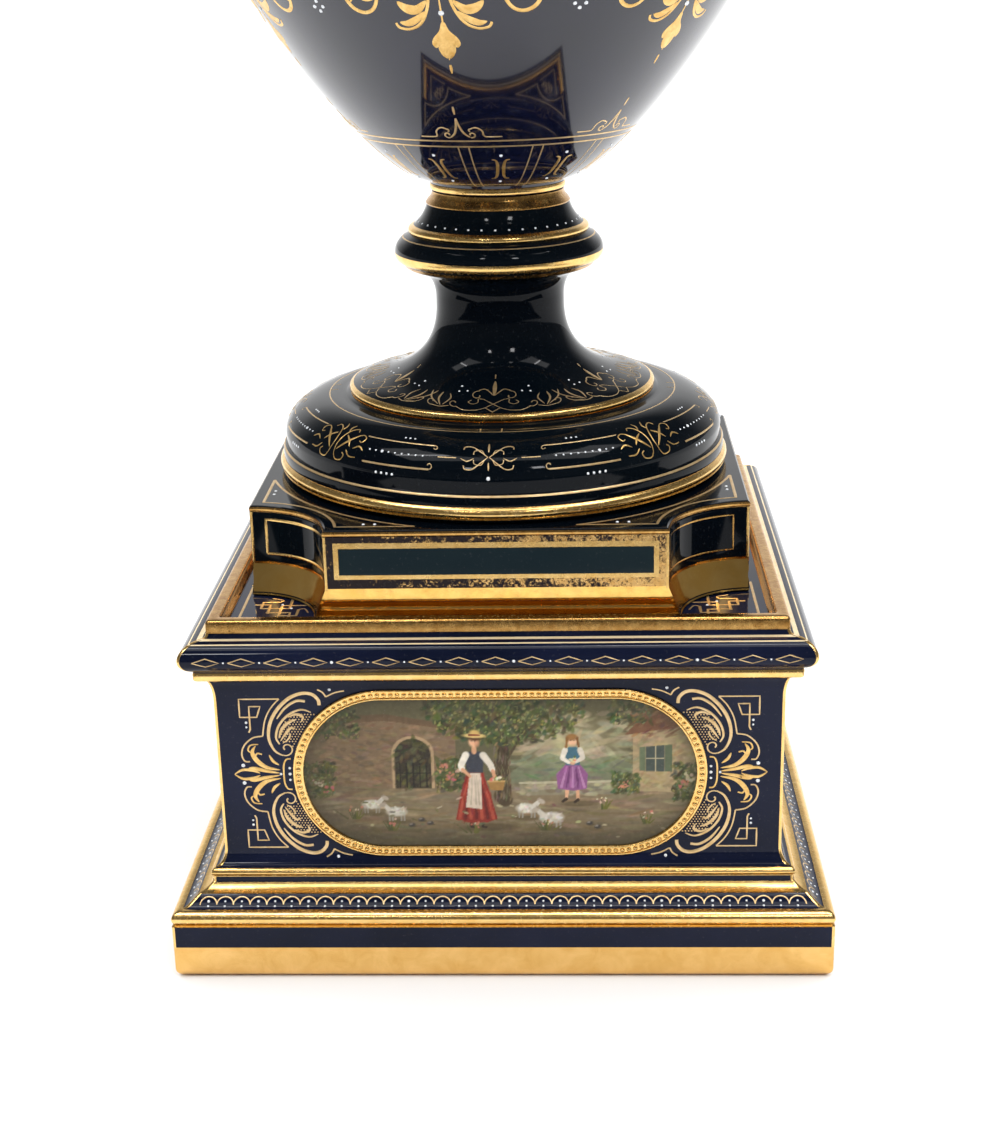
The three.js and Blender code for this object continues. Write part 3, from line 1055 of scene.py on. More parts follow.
def crossed_scrolls():
    """The X of four hooked strokes that marks each side of the dome."""
    arm = Drawing()
    arm.stroke(flow((0.2, 0.0), (2.4, 2.0), (4.8, 3.9), (7.0, 3.9), (7.4, 2.8)), 0.5, 0.3, 0.5)
    arm.stroke(flow((1.2, 1.0), (2.2, 2.6), (4.2, 2.2), (4.4, 0.9)), 0.3, 0.2, 0.3)
    d = arm.mirrored(True, True)
    d.leaf(flow((0, 1.8), (0, 3.8), (0, 5.4)), 0.8).leaf(flow((0, -1.8), (0, -3.2), (0, -4.4)), 0.6)
    for side in (-1, 1):
        d.stroke(straight((side * 9.7, -0.3), (side * 15.3, -0.3)), 0.42)
        d.leaf(flow((side * 4.4, -0.4), (side * 6.4, -1.4), (side * 8.4, -0.4)), 0.5)
    return d


def dome_leafage():
    """Two flaring uprights back to back, with leaves across them and scrolls at the feet."""
    half = Drawing()
    half.stroke(flow((1.3, -4.6), (0.8, -1.4), (1.3, 2.0), (2.6, 4.6), (4.6, 5.6), (5.6, 4.4)),
                0.5, 0.35, 0.4)
    half.stroke(flow((1.3, -4.6), (2.6, -6.2), (5.0, -6.0), (5.8, -4.6), (4.8, -3.8)), 0.45, 0.35, 0.45)
    half.leaf(flow((1.6, -3.4), (4.0, -0.6), (5.4, 1.2), (7.4, 3.2)), 1.15)
    half.leaf(flow((2.4, 2.4), (4.6, 0.8), (6.4, -1.4)), 0.8)
    half.leaf(flow((2.0, 3.4), (1.2, 5.2), (2.0, 7.0)), 0.7)
    half.stroke(flow((6.6, 2.8), (8.6, 3.7), (10.4, 2.6), (10.0, 0.9), (8.8, 1.2)), 0.42, 0.3, 0.5)
    half.stroke(flow((6.0, -2.8), (8.0, -4.4), (10.8, -4.4)), 0.5, 0.3, 0.4)
    half.leaf(flow((8.2, -1.9), (10.2, -0.7), (12.4, -1.9)), 0.75)
    return half.mirrored()


def dome_bars():
    """Two gold bars with curled ends that join a cross to a spray, with dots between."""
    d = Drawing()
    d.stroke(straight((16.4, 3.9), (39.8, 4.3)), 0.6)
    d.stroke(curl((16.3, 2.9), 1.0, 0.3, 90, 350, 10), 0.38)
    d.stroke(straight((18.0, -4.5), (41.0, -4.4)), 0.78)
    d.stroke(curl((18.0, -3.3), 1.2, 0.3, -90, -350, 10), 0.38)
    for i in range(9):
        d.dot(20.0 + 2.3 * i, -0.3, 0.52 if i == 6 else 0.3)
    for i in range(4):
        d.dot(30.0 + 1.9 * i, -7.0, 0.42)
    for i in range(3):
        d.dot(23.0 + 1.6 * i, 6.2, 0.32)
    return d


def disc_scrollwork():
    """Plaited crossing with a tulip over it and scrolls running out on both sides."""
    half = Drawing()
    half.stroke(straight((0, 0.6), (2.6, 2.6), (-3.4, 7.4)), 0.38)
    half.stroke(flow((-3.4, 7.4), (-5.2, 7.6), (-5.3, 5.6), (-7.0, 4.6), (-8.6, 5.6), (-7.6, 6.8)), 0.36)
    half.stroke(flow((2.6, 2.6), (5.8, 1.4), (10.2, 1.4), (12.8, 3.0)), 0.34, 0.3, 0.4)
    half.stroke(curl((13.6, 4.8), 2.1, 0.5, -110, 170, 16), 0.36, 0.36, 0.5)
    half.stroke(flow((15.4, 3.2), (18.6, 2.4), (22.0, 3.0)), 0.36, 0.3, 0.4)
    half.stroke(curl((22.2, 4.9), 1.9, 0.5, -90, 190, 14), 0.36, 0.36, 0.5)
    half.stroke(flow((0.2, 9.6), (3.0, 12.6), (5.4, 12.0)), 0.5, 0.3, 0.4)
    half.stroke(curl((5.6, 9.4), 2.4, 0.6, 100, -190, 16), 0.38, 0.4, 0.55)
    half.leaf(flow((18.6, 3.0), (19.6, 6.8), (18.2, 10.2)), 0.8)
    half.leaf(flow((19.4, 3.4), (22.6, 7.0), (22.4, 10.6)), 0.7)
    half.leaf(flow((17.8, 3.4), (15.2, 7.2), (15.6, 9.8)), 0.6)
    d = half.mirrored()
    d.leaf(flow((0, 9.4), (0, 13.0), (0, 16.2)), 1.5)
    d.stroke(straight((0, 17.2), (0, 18.6)), 0.35)
    for x, y in ((9.4, 11.6), (11.6, 13.6), (12.4, 11.2)):
        d.dot(x, y, 0.34).dot(-x, y, 0.34)
    return d.changed(lambda x, y: (x * 0.9, y * 1.12))


# Half width, bottom and top of a side plate's parts, and of the frame drawn in a bite.
PLATE_EDGE = (NOTCH_HALF - 0.35, 9.7, 25.8)
PLATE_LINE = (47.9, 12.6, 23.9)
PLATE_PANEL = (46.4, 13.9, 22.2)
BITE_FRAME = (15.2, 12.4, 23.4)
FOOT_TURN = 1.5           # degrees that the drawings of the foot start to the left of the front
KNOP_DOTS = 38


def gild_slab(gold, white):
    """Two gilt rings, and on each side a worn plate, gold edges, a framed bite and a spandrel."""
    absorb(gold, slab_ring(0.3, 9.8), POLISHED)
    absorb(gold, slab_ring(25.7, 27.3), RUBBED)
    edges = Drawing().stroke(straight((NOTCH_HALF - 0.5, 9.0), (NOTCH_HALF - 0.5, 25.8)), 0.9).mirrored()
    corners = Drawing().stroke(straight((19.7, 9.0), (19.7, 25.8)), 0.7).mirrored()
    half, low, high = BITE_FRAME
    frame_line = straight((-half, low), (half, low), (half, high), (-half, high), (-half, low))
    top = flat((0, 0, FOOT_BASE + SLAB_TOP), (1, 0, 0), (0, 1, 0))
    for face in range(4):
        turn = Matrix.Rotation(face * math.pi / 2, 3, "Z")
        put = flat(turn @ Vector((0, -SLAB_HALF, FOOT_BASE)), turn @ Vector((1, 0, 0)), (0, 0, 1))
        absorb(gold, framed_plate(put, PLATE_EDGE, PLATE_LINE), WORN)
        absorb(gold, framed_plate(put, PLATE_LINE, PLATE_PANEL, 0.09), BRIGHT)
        edges.lay(gold, put, BRIGHT)
        width, slot = (0.5, RUBBED) if face == 0 else (0.85, BRIGHT)
        Drawing().stroke(frame_line, width).lay(gold, in_bite(FOOT_BASE, face), slot)
        corners.lay(gold, in_bite(FOOT_BASE, face), BRIGHT)
        spandrel().changed(quarter_turns(face)).lay(gold, top, LINE, white)


def gild_dome(gold, white, course):
    """Crosses, bars and leafage round the dome, with ticks over each cross and a dot under it."""
    cross, leafage = crossed_scrolls().finer(0.72), dome_leafage().finer(0.75)
    bars = dome_bars().mirrored().finer(0.7)
    belt = course.find(47.0)
    for quarter in range(4):
        azimuth = 90.0 * quarter - FOOT_TURN
        cross.lay(gold, course.round_about(belt, azimuth), LINE, white)
        bars.lay(gold, course.round_about(belt, azimuth), LINE, white)
        leafage.lay(gold, course.round_about(belt + 0.5, azimuth + 45.0), LEAF, white)
        for side in (-1, 1):
            tick = Drawing().stroke(straight((side * 3.2, 0), (side * 3.2, 2.6)), 0.5)
            tick.lay(gold, course.round_about(course.find(51.6), azimuth), LINE)
        bead(white, course.round_about(course.find(41.5), azimuth), 0, 0, 0.6)


def make_foot_gilding():
    gold, white = bmesh.new(), bmesh.new()
    gild_slab(gold, white)
    course = Course(foot_outline(), FOOT_BASE)
    for low, high, slot in ((29.0, 32.9, BRIGHT), (52.6, 55.2, BRIGHT), (92.3, 93.5, RUBBED),
                            (94.2, 97.0, BRIGHT), (102.9, 105.3, BRIGHT), (111.9, 115.8, RUBBED)):
        absorb(gold, gilt_ring(course.stretch(course.find(low), course.find(high))), slot)
    for level, width in ((36.2, 0.7), (51.6, 0.4), (101.6, 0.45)):
        absorb(gold, gilt_ring(course.band(level, width)), LINE)

    gild_dome(gold, white, course)
    work = disc_scrollwork().finer(0.85)
    start = course.find(55.25)
    for sixth in range(6):
        work.lay(gold, course.round_about(start, 60.0 * sixth - FOOT_TURN), LINE, white)
    knop = course.find(106.6)
    for i in range(KNOP_DOTS):
        bead(white, course.round_about(knop, 360.0 * i / KNOP_DOTS), 0, 0, 0.36)
    finish_gilding(gold, white, "foot")


# ---------------------------------------------------------------- body gilding

def bracket_pair():
    """Two small uprights back to back, flared at their ends."""
    d = Drawing()
    d.stroke(flow((2.7, 5.4), (1.5, 4.9), (1.0, 3.0), (0.9, 0), (1.0, -3.0), (1.5, -4.6), (2.6, -5.0)),
             0.95, 0.35, 0.35)
    return d.mirrored().dot(0, 7.3, 0.55).dot(0, -6.9, 0.5)


def tulip():
    """The small pointed flower with scrolled feet that stands on the double line."""
    half = Drawing()
    half.stroke(flow((0.1, 9.4), (0.5, 6.0), (1.4, 3.2), (2.9, 1.5)), 0.7, 0.25, 0.45)
    half.stroke(curl((3.5, 2.6), 1.3, 0.35, -110, 200, 16), 0.5, 0.45, 0.55)
    half.stroke(flow((3.2, 4.9), (5.2, 5.6), (6.8, 4.2), (7.0, 2.2), (8.2, 1.7), (12.2, 1.7)), 0.5)
    half.stroke(curl((3.6, 4.2), 0.9, 0.4, 110, 220, 6), 0.5, 0.5, 0.4)
    d = half.mirrored()
    return d.stroke(straight((0, 11.0), (0, 14.0)), 0.75, 0.4, 0.5)


def pendant():
    """Hanging leaf with its stem, bead and dash; the origin is the leaf's tip."""
    half = Drawing()
    half.stroke(flow((0.3, 12.6), (0.9, 9.6), (2.7, 7.2), (3.3, 5.6), (2.7, 4.4)), 1.5, 0.3, 0.8)
    half.leaf(flow((0.5, 10.8), (1.4, 7.0), (2.3, 4.6)), 2.0)
    half.leaf(flow((0.4, 8.8), (1.5, 4.2), (0.5, 0.6)), 1.9)
    d = half.mirrored()
    d.leaf(flow((0, 12.6), (0, 6.6), (0, 0.0)), 1.6)
    d.stroke(straight((0, 12.6), (0, 20.5)), 0.5, 0.5, 0.4)
    d.stroke(straight((0, -1.6), (0, -4.6)), 0.85, 0.6, 0.4)
    return d.dot(0, 15.6, 0.85)


def acanthus():
    """The great leafed ornament over each pendant; its foot hangs 20 mm above the leaf's tip."""
    half = Drawing()
    half.stroke(flow((1.6, 34.0), (2.4, 25.0), (3.4, 18.0), (5.8, 12.8), (9.2, 10.6), (12.4, 11.0),
                     (13.4, 12.6)), 0.9, 0.6, 0.7)
    half.leaf(flow((3.6, 19.6), (6.6, 16.8), (9.6, 17.2), (12.0, 19.4)), 3.0)
    half.leaf(flow((4.4, 16.2), (7.0, 13.8), (9.8, 12.4), (12.2, 12.8)), 2.2)
    half.leaf(flow((3.2, 23.8), (6.8, 21.2), (10.0, 22.4), (11.4, 25.4)), 2.6)
    half.leaf(flow((2.6, 28.6), (6.0, 26.4), (9.2, 28.2), (9.8, 31.4)), 2.3)
    half.stroke(flow((6.4, 40.0), (13.0, 38.0), (17.4, 31.0), (17.6, 22.0), (19.2, 17.4), (22.4, 15.9),
                     (26.0, 17.6), (28.4, 22.0), (28.6, 28.0), (25.6, 32.2), (22.0, 31.2)),
                1.15, 0.5, 0.6)
    half.stroke(curl((23.4, 28.8), 2.8, 0.6, 110, 430, 22), 0.6, 0.6, 0.8)
    half.leaf(flow((19.0, 20.0), (22.0, 20.4), (24.4, 23.6), (23.0, 26.0)), 1.7)
    half.leaf(flow((26.6, 19.0), (25.2, 22.2), (26.2, 25.6)), 1.2)
    half.stroke(flow((1.0, 36.0), (4.2, 38.6), (6.8, 42.6), (5.6, 46.8)), 1.2, 0.4, 0.5)
    half.stroke(curl((4.0, 46.0), 1.8, 0.5, 20, 330, 14), 0.5, 0.5, 0.7)
    half.leaf(flow((0.6, 42.0), (3.0, 47.0), (2.4, 52.4)), 1.8)
    half.leaf(flow((8.4, 39.4), (12.2, 41.6), (14.2, 45.8)), 1.6)
    half.leaf(flow((13.0, 37.2), (17.2, 38.4), (20.0, 41.6)), 1.3)
    d = half.mirrored()
    d.leaf(flow((0, 36.0), (0, 46.0), (0, 57.0)), 2.4).leaf(flow((0, 22.0), (0, 28.0), (0, 35.0)), 1.8)
    for x, y, radius in ((0, 60.0, 0.8), (14.6, 27.0, 0.6), (20.6, 35.6, 0.55), (8.6, 48.4, 0.6)):
        d.dot(x, y, radius)
        if x:
            d.dot(-x, y, radius)
    return d


def shoulder_leaf():
    """One of a plain row of upright leaves."""
    d = Drawing()
    d.leaf(flow((0, 0), (0, 5.0), (0, 10.0)), 2.2)
    side = Drawing().leaf(flow((0.4, 0.4), (3.2, 3.0), (4.2, 6.6)), 1.2)
    side.stroke(flow((1.2, -0.6), (6.0, -1.6), (9.6, 0.4)), 0.5, 0.3, 0.4)
    return d.add(side.mirrored()).dot(9.8, 3.0, 0.5)


# The bowl's drawings stand on distances up its curve from the ring; they start left of the front.
BODY_TURN = 11.0
BOWL_PANELS = 12
SIXTHS = 6
DOUBLE_LINE = (25.8, 28.3)
PENDANT_TIP = 59.4


def gild_bowl(gold, white, course, bowl):
    """Seams and brackets under the double line, flowers on it, then pendants and acanthus."""
    for reach in (0.6, *DOUBLE_LINE):
        absorb(gold, gilt_ring(course.stretch(bowl + reach - 0.3, bowl + reach + 0.3)), LINE)
    seam = Drawing()
    for side in (-1, 1):
        seam.stroke([(side * (1.25 + 0.35 * k / 14), 0.6 + 25.2 * k / 14) for k in range(15)], 0.42)
    pair = bracket_pair()
    for i in range(BOWL_PANELS):
        azimuth = 360.0 * i / BOWL_PANELS - BODY_TURN
        seam.lay(gold, course.round_about(bowl, azimuth), LINE)
        pair.lay(gold, course.round_about(bowl + 14.2, azimuth + 180.0 / BOWL_PANELS), LEAF, white)
    flower, hanging, leafage = tulip(), pendant(), acanthus()
    for i in range(SIXTHS):
        azimuth = 360.0 * i / SIXTHS - BODY_TURN
        flower.lay(gold, course.round_about(bowl + 28.4, azimuth), LINE)
        put = course.round_about(bowl + PENDANT_TIP, azimuth + 2.0)
        hanging.lay(gold, put, LEAF, white)
        leafage.lay(gold, put, LEAF, white)
        between = course.round_about(bowl + PENDANT_TIP, azimuth + 32.0)
        for x, y in ((-1.6, 17.6), (1.6, 17.6), (0, 16.2), (0, 19.4)):
            bead(white, between, x, y, 0.6)


def make_body_gilding():
    gold, white = bmesh.new(), bmesh.new()
    course = Course(body_outside(), BODY_BASE)
    absorb(gold, gilt_ring(course.stretch(SEAT_RADIUS + 0.5, course.find(2.0))), BRIGHT)
    gild_bowl(gold, white, course, course.find(3.1))
    for level, width, slot in ((122.0, 0.6, LINE), (126.0, 1.6, BRIGHT), (160.0, 0.6, LINE),
                               (164.5, 2.2, BRIGHT), (186.0, 0.6, LINE), (193.5, 0.6, LINE)):
        absorb(gold, gilt_ring(course.band(level, width)), slot)
    leaf = shoulder_leaf()
    for i in range(18):
        leaf.lay(gold, course.round_about(course.find(138.0), 20.0 * i - BODY_TURN), LEAF, white)
    for i in range(24):
        bead(white, course.round_about(course.find(189.8), 15.0 * i), 0, 0, 0.6)
    rim = course.stretch(course.find(222.0), course.marks[-1])
    turned_in = raised(body_inside()[:5], BODY_BASE)
    absorb(gold, gilt_ring(rim + turned_in), RUBBED)
    finish_gilding(gold, white, "body")


# ---------------------------------------------------------------- the painted panel

class Canvas:
    """A sheet of paint on a fine grid, worked up with washes, dabs, limbs and cut shapes."""

    def __init__(self, half_width, half_height, pitch):
        self.pitch = pitch
        self.columns = round(2 * half_width / pitch) + 1
        self.rows = round(2 * half_height / pitch) + 1
        across = (np.arange(self.columns) - (self.columns - 1) / 2) * pitch
        upward = (np.arange(self.rows) - (self.rows - 1) / 2) * pitch
        self.x, self.y = np.meshgrid(across, upward)
        self.rgb = np.zeros((self.rows, self.columns, 3))
        self.chance = np.random.default_rng(11)

    def mist(self, grain):
        """Smooth random field from 0 to 1 with patches of about the given size."""
        coarse = self.chance.random((int(2 * self.y.max() / grain) + 3, int(2 * self.x.max() / grain) + 3))
        u = (self.x + self.x.max()) / grain
        v = (self.y + self.y.max()) / grain
        i, j = v.astype(int), u.astype(int)
        fv, fu = v - i, u - j
        fv, fu = fv * fv * (3 - 2 * fv), fu * fu * (3 - 2 * fu)
        low = coarse[i, j] * (1 - fu) + coarse[i, j + 1] * fu
        high = coarse[i + 1, j] * (1 - fu) + coarse[i + 1, j + 1] * fu
        return low * (1 - fv) + high * fv

    def wash(self, mask, colour, opacity=1.0):
        """A layer of colour, given from 0 to 255, where the mask is."""
        self.rgb += (mask * opacity)[..., None] * (np.array(colour) / 255 - self.rgb)

    def band(self, values, low, high):
        """0 to 1 ramp of a field between two values."""
        return np.clip((values - low) / (high - low), 0, 1)

    def shape(self, corners, colour, opacity=1.0):
        """A filled outline with smooth edges."""
        mask = np.zeros_like(self.x)
        for dx, dy in ((-0.25, -0.25), (0.25, -0.25), (-0.25, 0.25), (0.25, 0.25)):
            x, y = self.x + dx * self.pitch, self.y + dy * self.pitch
            mask += inside(x, y, corners) * 0.25
        self.wash(mask, colour, opacity)
        return mask

    def patch(self, x, y, reach):
        """The small window of the sheet round a point."""
        half = reach / self.pitch + 1
        column = x / self.pitch + (self.columns - 1) / 2
        row = y / self.pitch + (self.rows - 1) / 2
        return (slice(max(int(row - half), 0), max(int(row + half) + 2, 0)),
                slice(max(int(column - half), 0), max(int(column + half) + 2, 0)))

    def dab(self, x, y, length, width, angle, colour, opacity=0.8):
        """One touch of the brush: half length and half width in millimetres."""
        window = self.patch(x, y, max(length, width))
        dx, dy = self.x[window] - x, self.y[window] - y
        c, s = math.cos(angle), math.sin(angle)
        spread = np.sqrt(((dx * c + dy * s) / length) ** 2 + ((dy * c - dx * s) / width) ** 2)
        mask = np.clip((1.15 - spread) * 2.2, 0, 1) * opacity
        self.rgb[window] += mask[..., None] * (np.array(colour) / 255 - self.rgb[window])

    def limb(self, line, start, end, colour, opacity=1.0):
        """A tapering stroke through a few points; start and end are its widths."""
        count = 0
        total = sum(math.dist(a, b) for a, b in zip(line, line[1:]))
        for a, b in zip(line, line[1:]):
            steps = max(2, int(math.dist(a, b) / (self.pitch * 0.6)))
            for k in range(steps):
                part = (count + math.dist(a, b) * k / steps) / total
                width = start + (end - start) * part
                x, y = a[0] + (b[0] - a[0]) * k / steps, a[1] + (b[1] - a[1]) * k / steps
                self.dab(x, y, width / 2, width / 2, 0, colour, opacity)
            count += math.dist(a, b)

    def scatter(self, count, box, colours, length, width, angle, swing, opacity, within=None):
        """Many dabs over a box, kept inside a mask when one is given."""
        x0, y0, x1, y1 = box
        for _ in range(count):
            x, y = self.chance.uniform(x0, x1), self.chance.uniform(y0, y1)
            window = self.patch(x, y, 0)
            if within is not None and (within[window].size == 0 or within[window].mean() < 0.5):
                continue
            base = np.array(colours[self.chance.integers(len(colours))]) + self.chance.normal(0, 7, 3)
            self.dab(x, y, length * self.chance.uniform(0.6, 1.4), width * self.chance.uniform(0.6, 1.4),
                     angle + self.chance.normal(0, swing), base, opacity)


class Easel:
    """A place on the canvas with its own origin and scale, for one figure."""

    def __init__(self, canvas, x, y, scale):
        self.canvas = canvas
        self.origin = (x, y)
        self.scale = scale

    def put(self, x, y):
        return self.origin[0] + x * self.scale, self.origin[1] + y * self.scale

    def dab(self, x, y, length, width, angle, colour, opacity=0.8):
        self.canvas.dab(*self.put(x, y), length * self.scale, width * self.scale, angle, colour, opacity)

    def limb(self, line, start, end, colour, opacity=1.0):
        self.canvas.limb([self.put(*p) for p in line], start * self.scale, end * self.scale, colour, opacity)

    def shape(self, corners, colour, opacity=1.0):
        return self.canvas.shape([self.put(*p) for p in corners], colour, opacity)

    def scatter(self, count, box, colours, length, width, angle, swing, opacity, within=None):
        box = self.put(*box[:2]) + self.put(*box[2:])
        self.canvas.scatter(count, box, colours, length * self.scale, width * self.scale, angle, swing,
                            opacity, within)


def paint_ground(c):
    """Sky, far hills, bare ground and the shade in front."""
    depth = c.mist(9.0)
    c.mist(24.0)          # a second mist that isn't used keeps the run of chance, and so the picture
    c.wash(np.ones_like(c.x), (96, 91, 70))
    c.wash(c.band(c.y, -4, 22), (98, 92, 68), 0.85)
    c.wash(c.band(-abs(c.x - 22), -17, -3) * c.band(-abs(c.y - 8), -12, -2), (172, 160, 128), 0.8)
    c.scatter(150, (4, 2, 40, 20), [(170, 160, 130), (150, 146, 118), (186, 172, 138)],
              3.2, 0.8, 0.1, 0.4, 0.4)
    hills = [(2, -1), (8, 4), (15, 6.5), (24, 3.5), (33, 5.5), (44, 1.5), (44, -6), (2, -6)]
    c.shape(hills, (118, 124, 100), 0.7)
    c.scatter(90, (4, -4, 42, 5), [(108, 116, 90), (124, 128, 98), (94, 104, 84)],
              2.2, 0.5, 0.1, 0.3, 0.5)
    c.wash(c.band(-c.y, 1.5, 6.5), (126, 111, 88), 0.95)
    c.scatter(520, (-59, -24, 59, -3), [(138, 122, 96), (116, 102, 80), (152, 136, 108), (104, 90, 70)],
              3.4, 0.55, 0.03, 0.15, 0.4)
    c.wash(c.band(-c.y, 15, 25) * (0.4 + 0.6 * depth), (74, 68, 48), 0.75)


def paint_gateway(c):
    """An old wall with an arched and barred gate."""
    wall = c.shape([(-60, -3), (-60, 17), (-34, 18), (-13, 14.5), (-13, -4.5), (-36, -5)],
                   (124, 104, 82), 0.95)
    c.scatter(420, (-60, -5, -13, 18), [(138, 114, 90), (110, 88, 70), (150, 126, 100), (98, 84, 68)],
              1.6, 0.5, 0.0, 0.2, 0.4, wall)
    c.shape([(-60, 16), (-60, 18.6), (-34, 19.6), (-12, 15.8), (-12, 14), (-34, 17.4)], (104, 84, 64), 0.9)
    angles = [math.pi * k / 12 for k in range(13)]
    arch = [(-31.5, -5), (-31.5, 6)]
    arch += [(-26 - 5.5 * math.cos(a), 6 + 5.5 * math.sin(a)) for a in angles]
    arch += [(-20.5, -5)]
    surround = [(x + (x + 26) * 0.16, y + (0.9 if y > 0 else 0)) for x, y in arch]
    c.shape(surround, (176, 150, 116), 0.85)
    gate = c.shape(arch, (58, 52, 42), 1.0)
    c.scatter(120, (-32, -5, -20, 12), [(84, 84, 56), (66, 60, 44), (104, 100, 66)],
              1.3, 0.6, 0.9, 0.6, 0.5, gate)
    iron = (40, 36, 30)
    for x in (-30, -28, -26, -24, -22):
        c.limb([(x, -4.5), (x, 3.6)], 0.45, 0.45, iron, 0.8)
    c.limb([(-31.2, 0.2), (-20.8, 0.2)], 0.4, 0.4, iron, 0.8)


def paint_cottage(c):
    """A cottage end with its roof and a shuttered window, and the low wall that runs up to it."""
    plaster = c.shape([(40, -6), (40, 14), (60, 17.5), (60, -7)], (158, 140, 108), 0.95)
    c.scatter(260, (40, -7, 60, 17), [(172, 152, 116), (146, 126, 94), (130, 114, 88)],
              1.5, 0.6, 0.2, 0.5, 0.4, plaster)
    c.shape([(37.6, 12.4), (48, 24), (60, 24), (60, 16), (41, 12.8)], (112, 78, 58), 0.92)
    c.scatter(120, (38, 12, 60, 24), [(128, 90, 66), (96, 66, 50), (142, 106, 78)],
              1.4, 0.4, 0.5, 0.15, 0.5)
    c.shape([(44, 0.5), (44, 8.5), (49.5, 9), (49.5, 0.3)], (70, 78, 74), 0.95)
    c.shape([(42, 0.6), (42, 8.3), (43.8, 8.5), (43.8, 0.5)], (98, 108, 84), 0.95)
    c.shape([(49.7, 0.3), (49.7, 9), (51.7, 9.2), (51.7, 0.2)], (88, 98, 76), 0.95)
    sash = (170, 160, 130)
    c.limb([(46.8, 0.5), (46.8, 8.7)], 0.4, 0.4, sash)
    c.limb([(44, 4.6), (49.5, 4.7)], 0.35, 0.35, sash)
    stones = c.shape([(6, -7.5), (6, -3.4), (40, -2.8), (40, -7)], (134, 126, 104), 0.95)
    c.scatter(110, (6, -8, 40, -3), [(150, 142, 118), (112, 106, 86), (164, 154, 126)],
              1.2, 0.6, 0, 0.1, 0.6, stones)
    c.limb([(6, -3.3), (40, -2.7)], 0.7, 0.7, (172, 164, 138), 0.8)


def paint_trees(c):
    """A broad tree in the middle, bushes along the edge and a few blossoms."""
    bark = (78, 66, 50)
    c.limb([(1.5, -9), (0.6, -2), (1.4, 6), (-0.6, 13), (-4, 20)], 4.4, 1.8, bark)
    c.limb([(1.2, 4), (5.5, 11), (11, 16)], 2.2, 1.0, bark)
    c.limb([(0.6, 9), (-6, 13), (-11, 17)], 1.7, 0.8, bark)
    c.scatter(90, (-1.6, -9, 3.4, 12), [(104, 92, 70), (60, 50, 38), (118, 106, 80)],
              1.5, 0.28, 1.5, 0.2, 0.7)
    greens = [(66, 70, 42), (84, 88, 50), (52, 56, 36), (100, 102, 60), (72, 82, 60)]
    crown = c.band(-((c.x - 2) / 25) ** 2 - ((c.y - 21) / 12.5) ** 2, -1.1, -0.75)
    c.scatter(900, (-24, 8, 28, 26), greens, 1.3, 0.62, 0.6, 0.9, 0.62, crown)
    c.scatter(260, (-20, 9, 24, 24), [(138, 134, 80), (120, 122, 74), (154, 148, 94)],
              0.55, 0.3, 0.6, 0.9, 0.7, crown)
    lit = [(148, 142, 88), (128, 126, 80), (108, 122, 92)]
    for box, count in (((-60, 12, -42, 25), 300), ((-60, -8, -50, 4), 170), ((-19, -6, -8, 5), 170),
                       ((52, -9, 60, 3), 150), ((34, -7, 42, 0), 110), ((33, 16, 46, 25), 110)):
        c.scatter(count, box, greens, 1.1, 0.5, 0.7, 0.9, 0.6)
        c.scatter(count // 4, box, lit, 0.45, 0.28, 0.7, 0.9, 0.75)
    for x, y, tint in ((-15, -1, (176, 108, 96)), (-12, 1.5, (190, 150, 130)), (-17, 1.8, (182, 120, 104)),
                       (-55, -3, (188, 168, 150)), (-52, -5, (170, 104, 92)), (37, -4, (184, 126, 100)),
                       (55, -4, (178, 110, 96)), (57, -1.6, (196, 176, 150))):
        c.scatter(9, (x - 1.6, y - 1.2, x + 1.6, y + 1.2), [tint], 0.5, 0.42, 0, 1, 0.85)


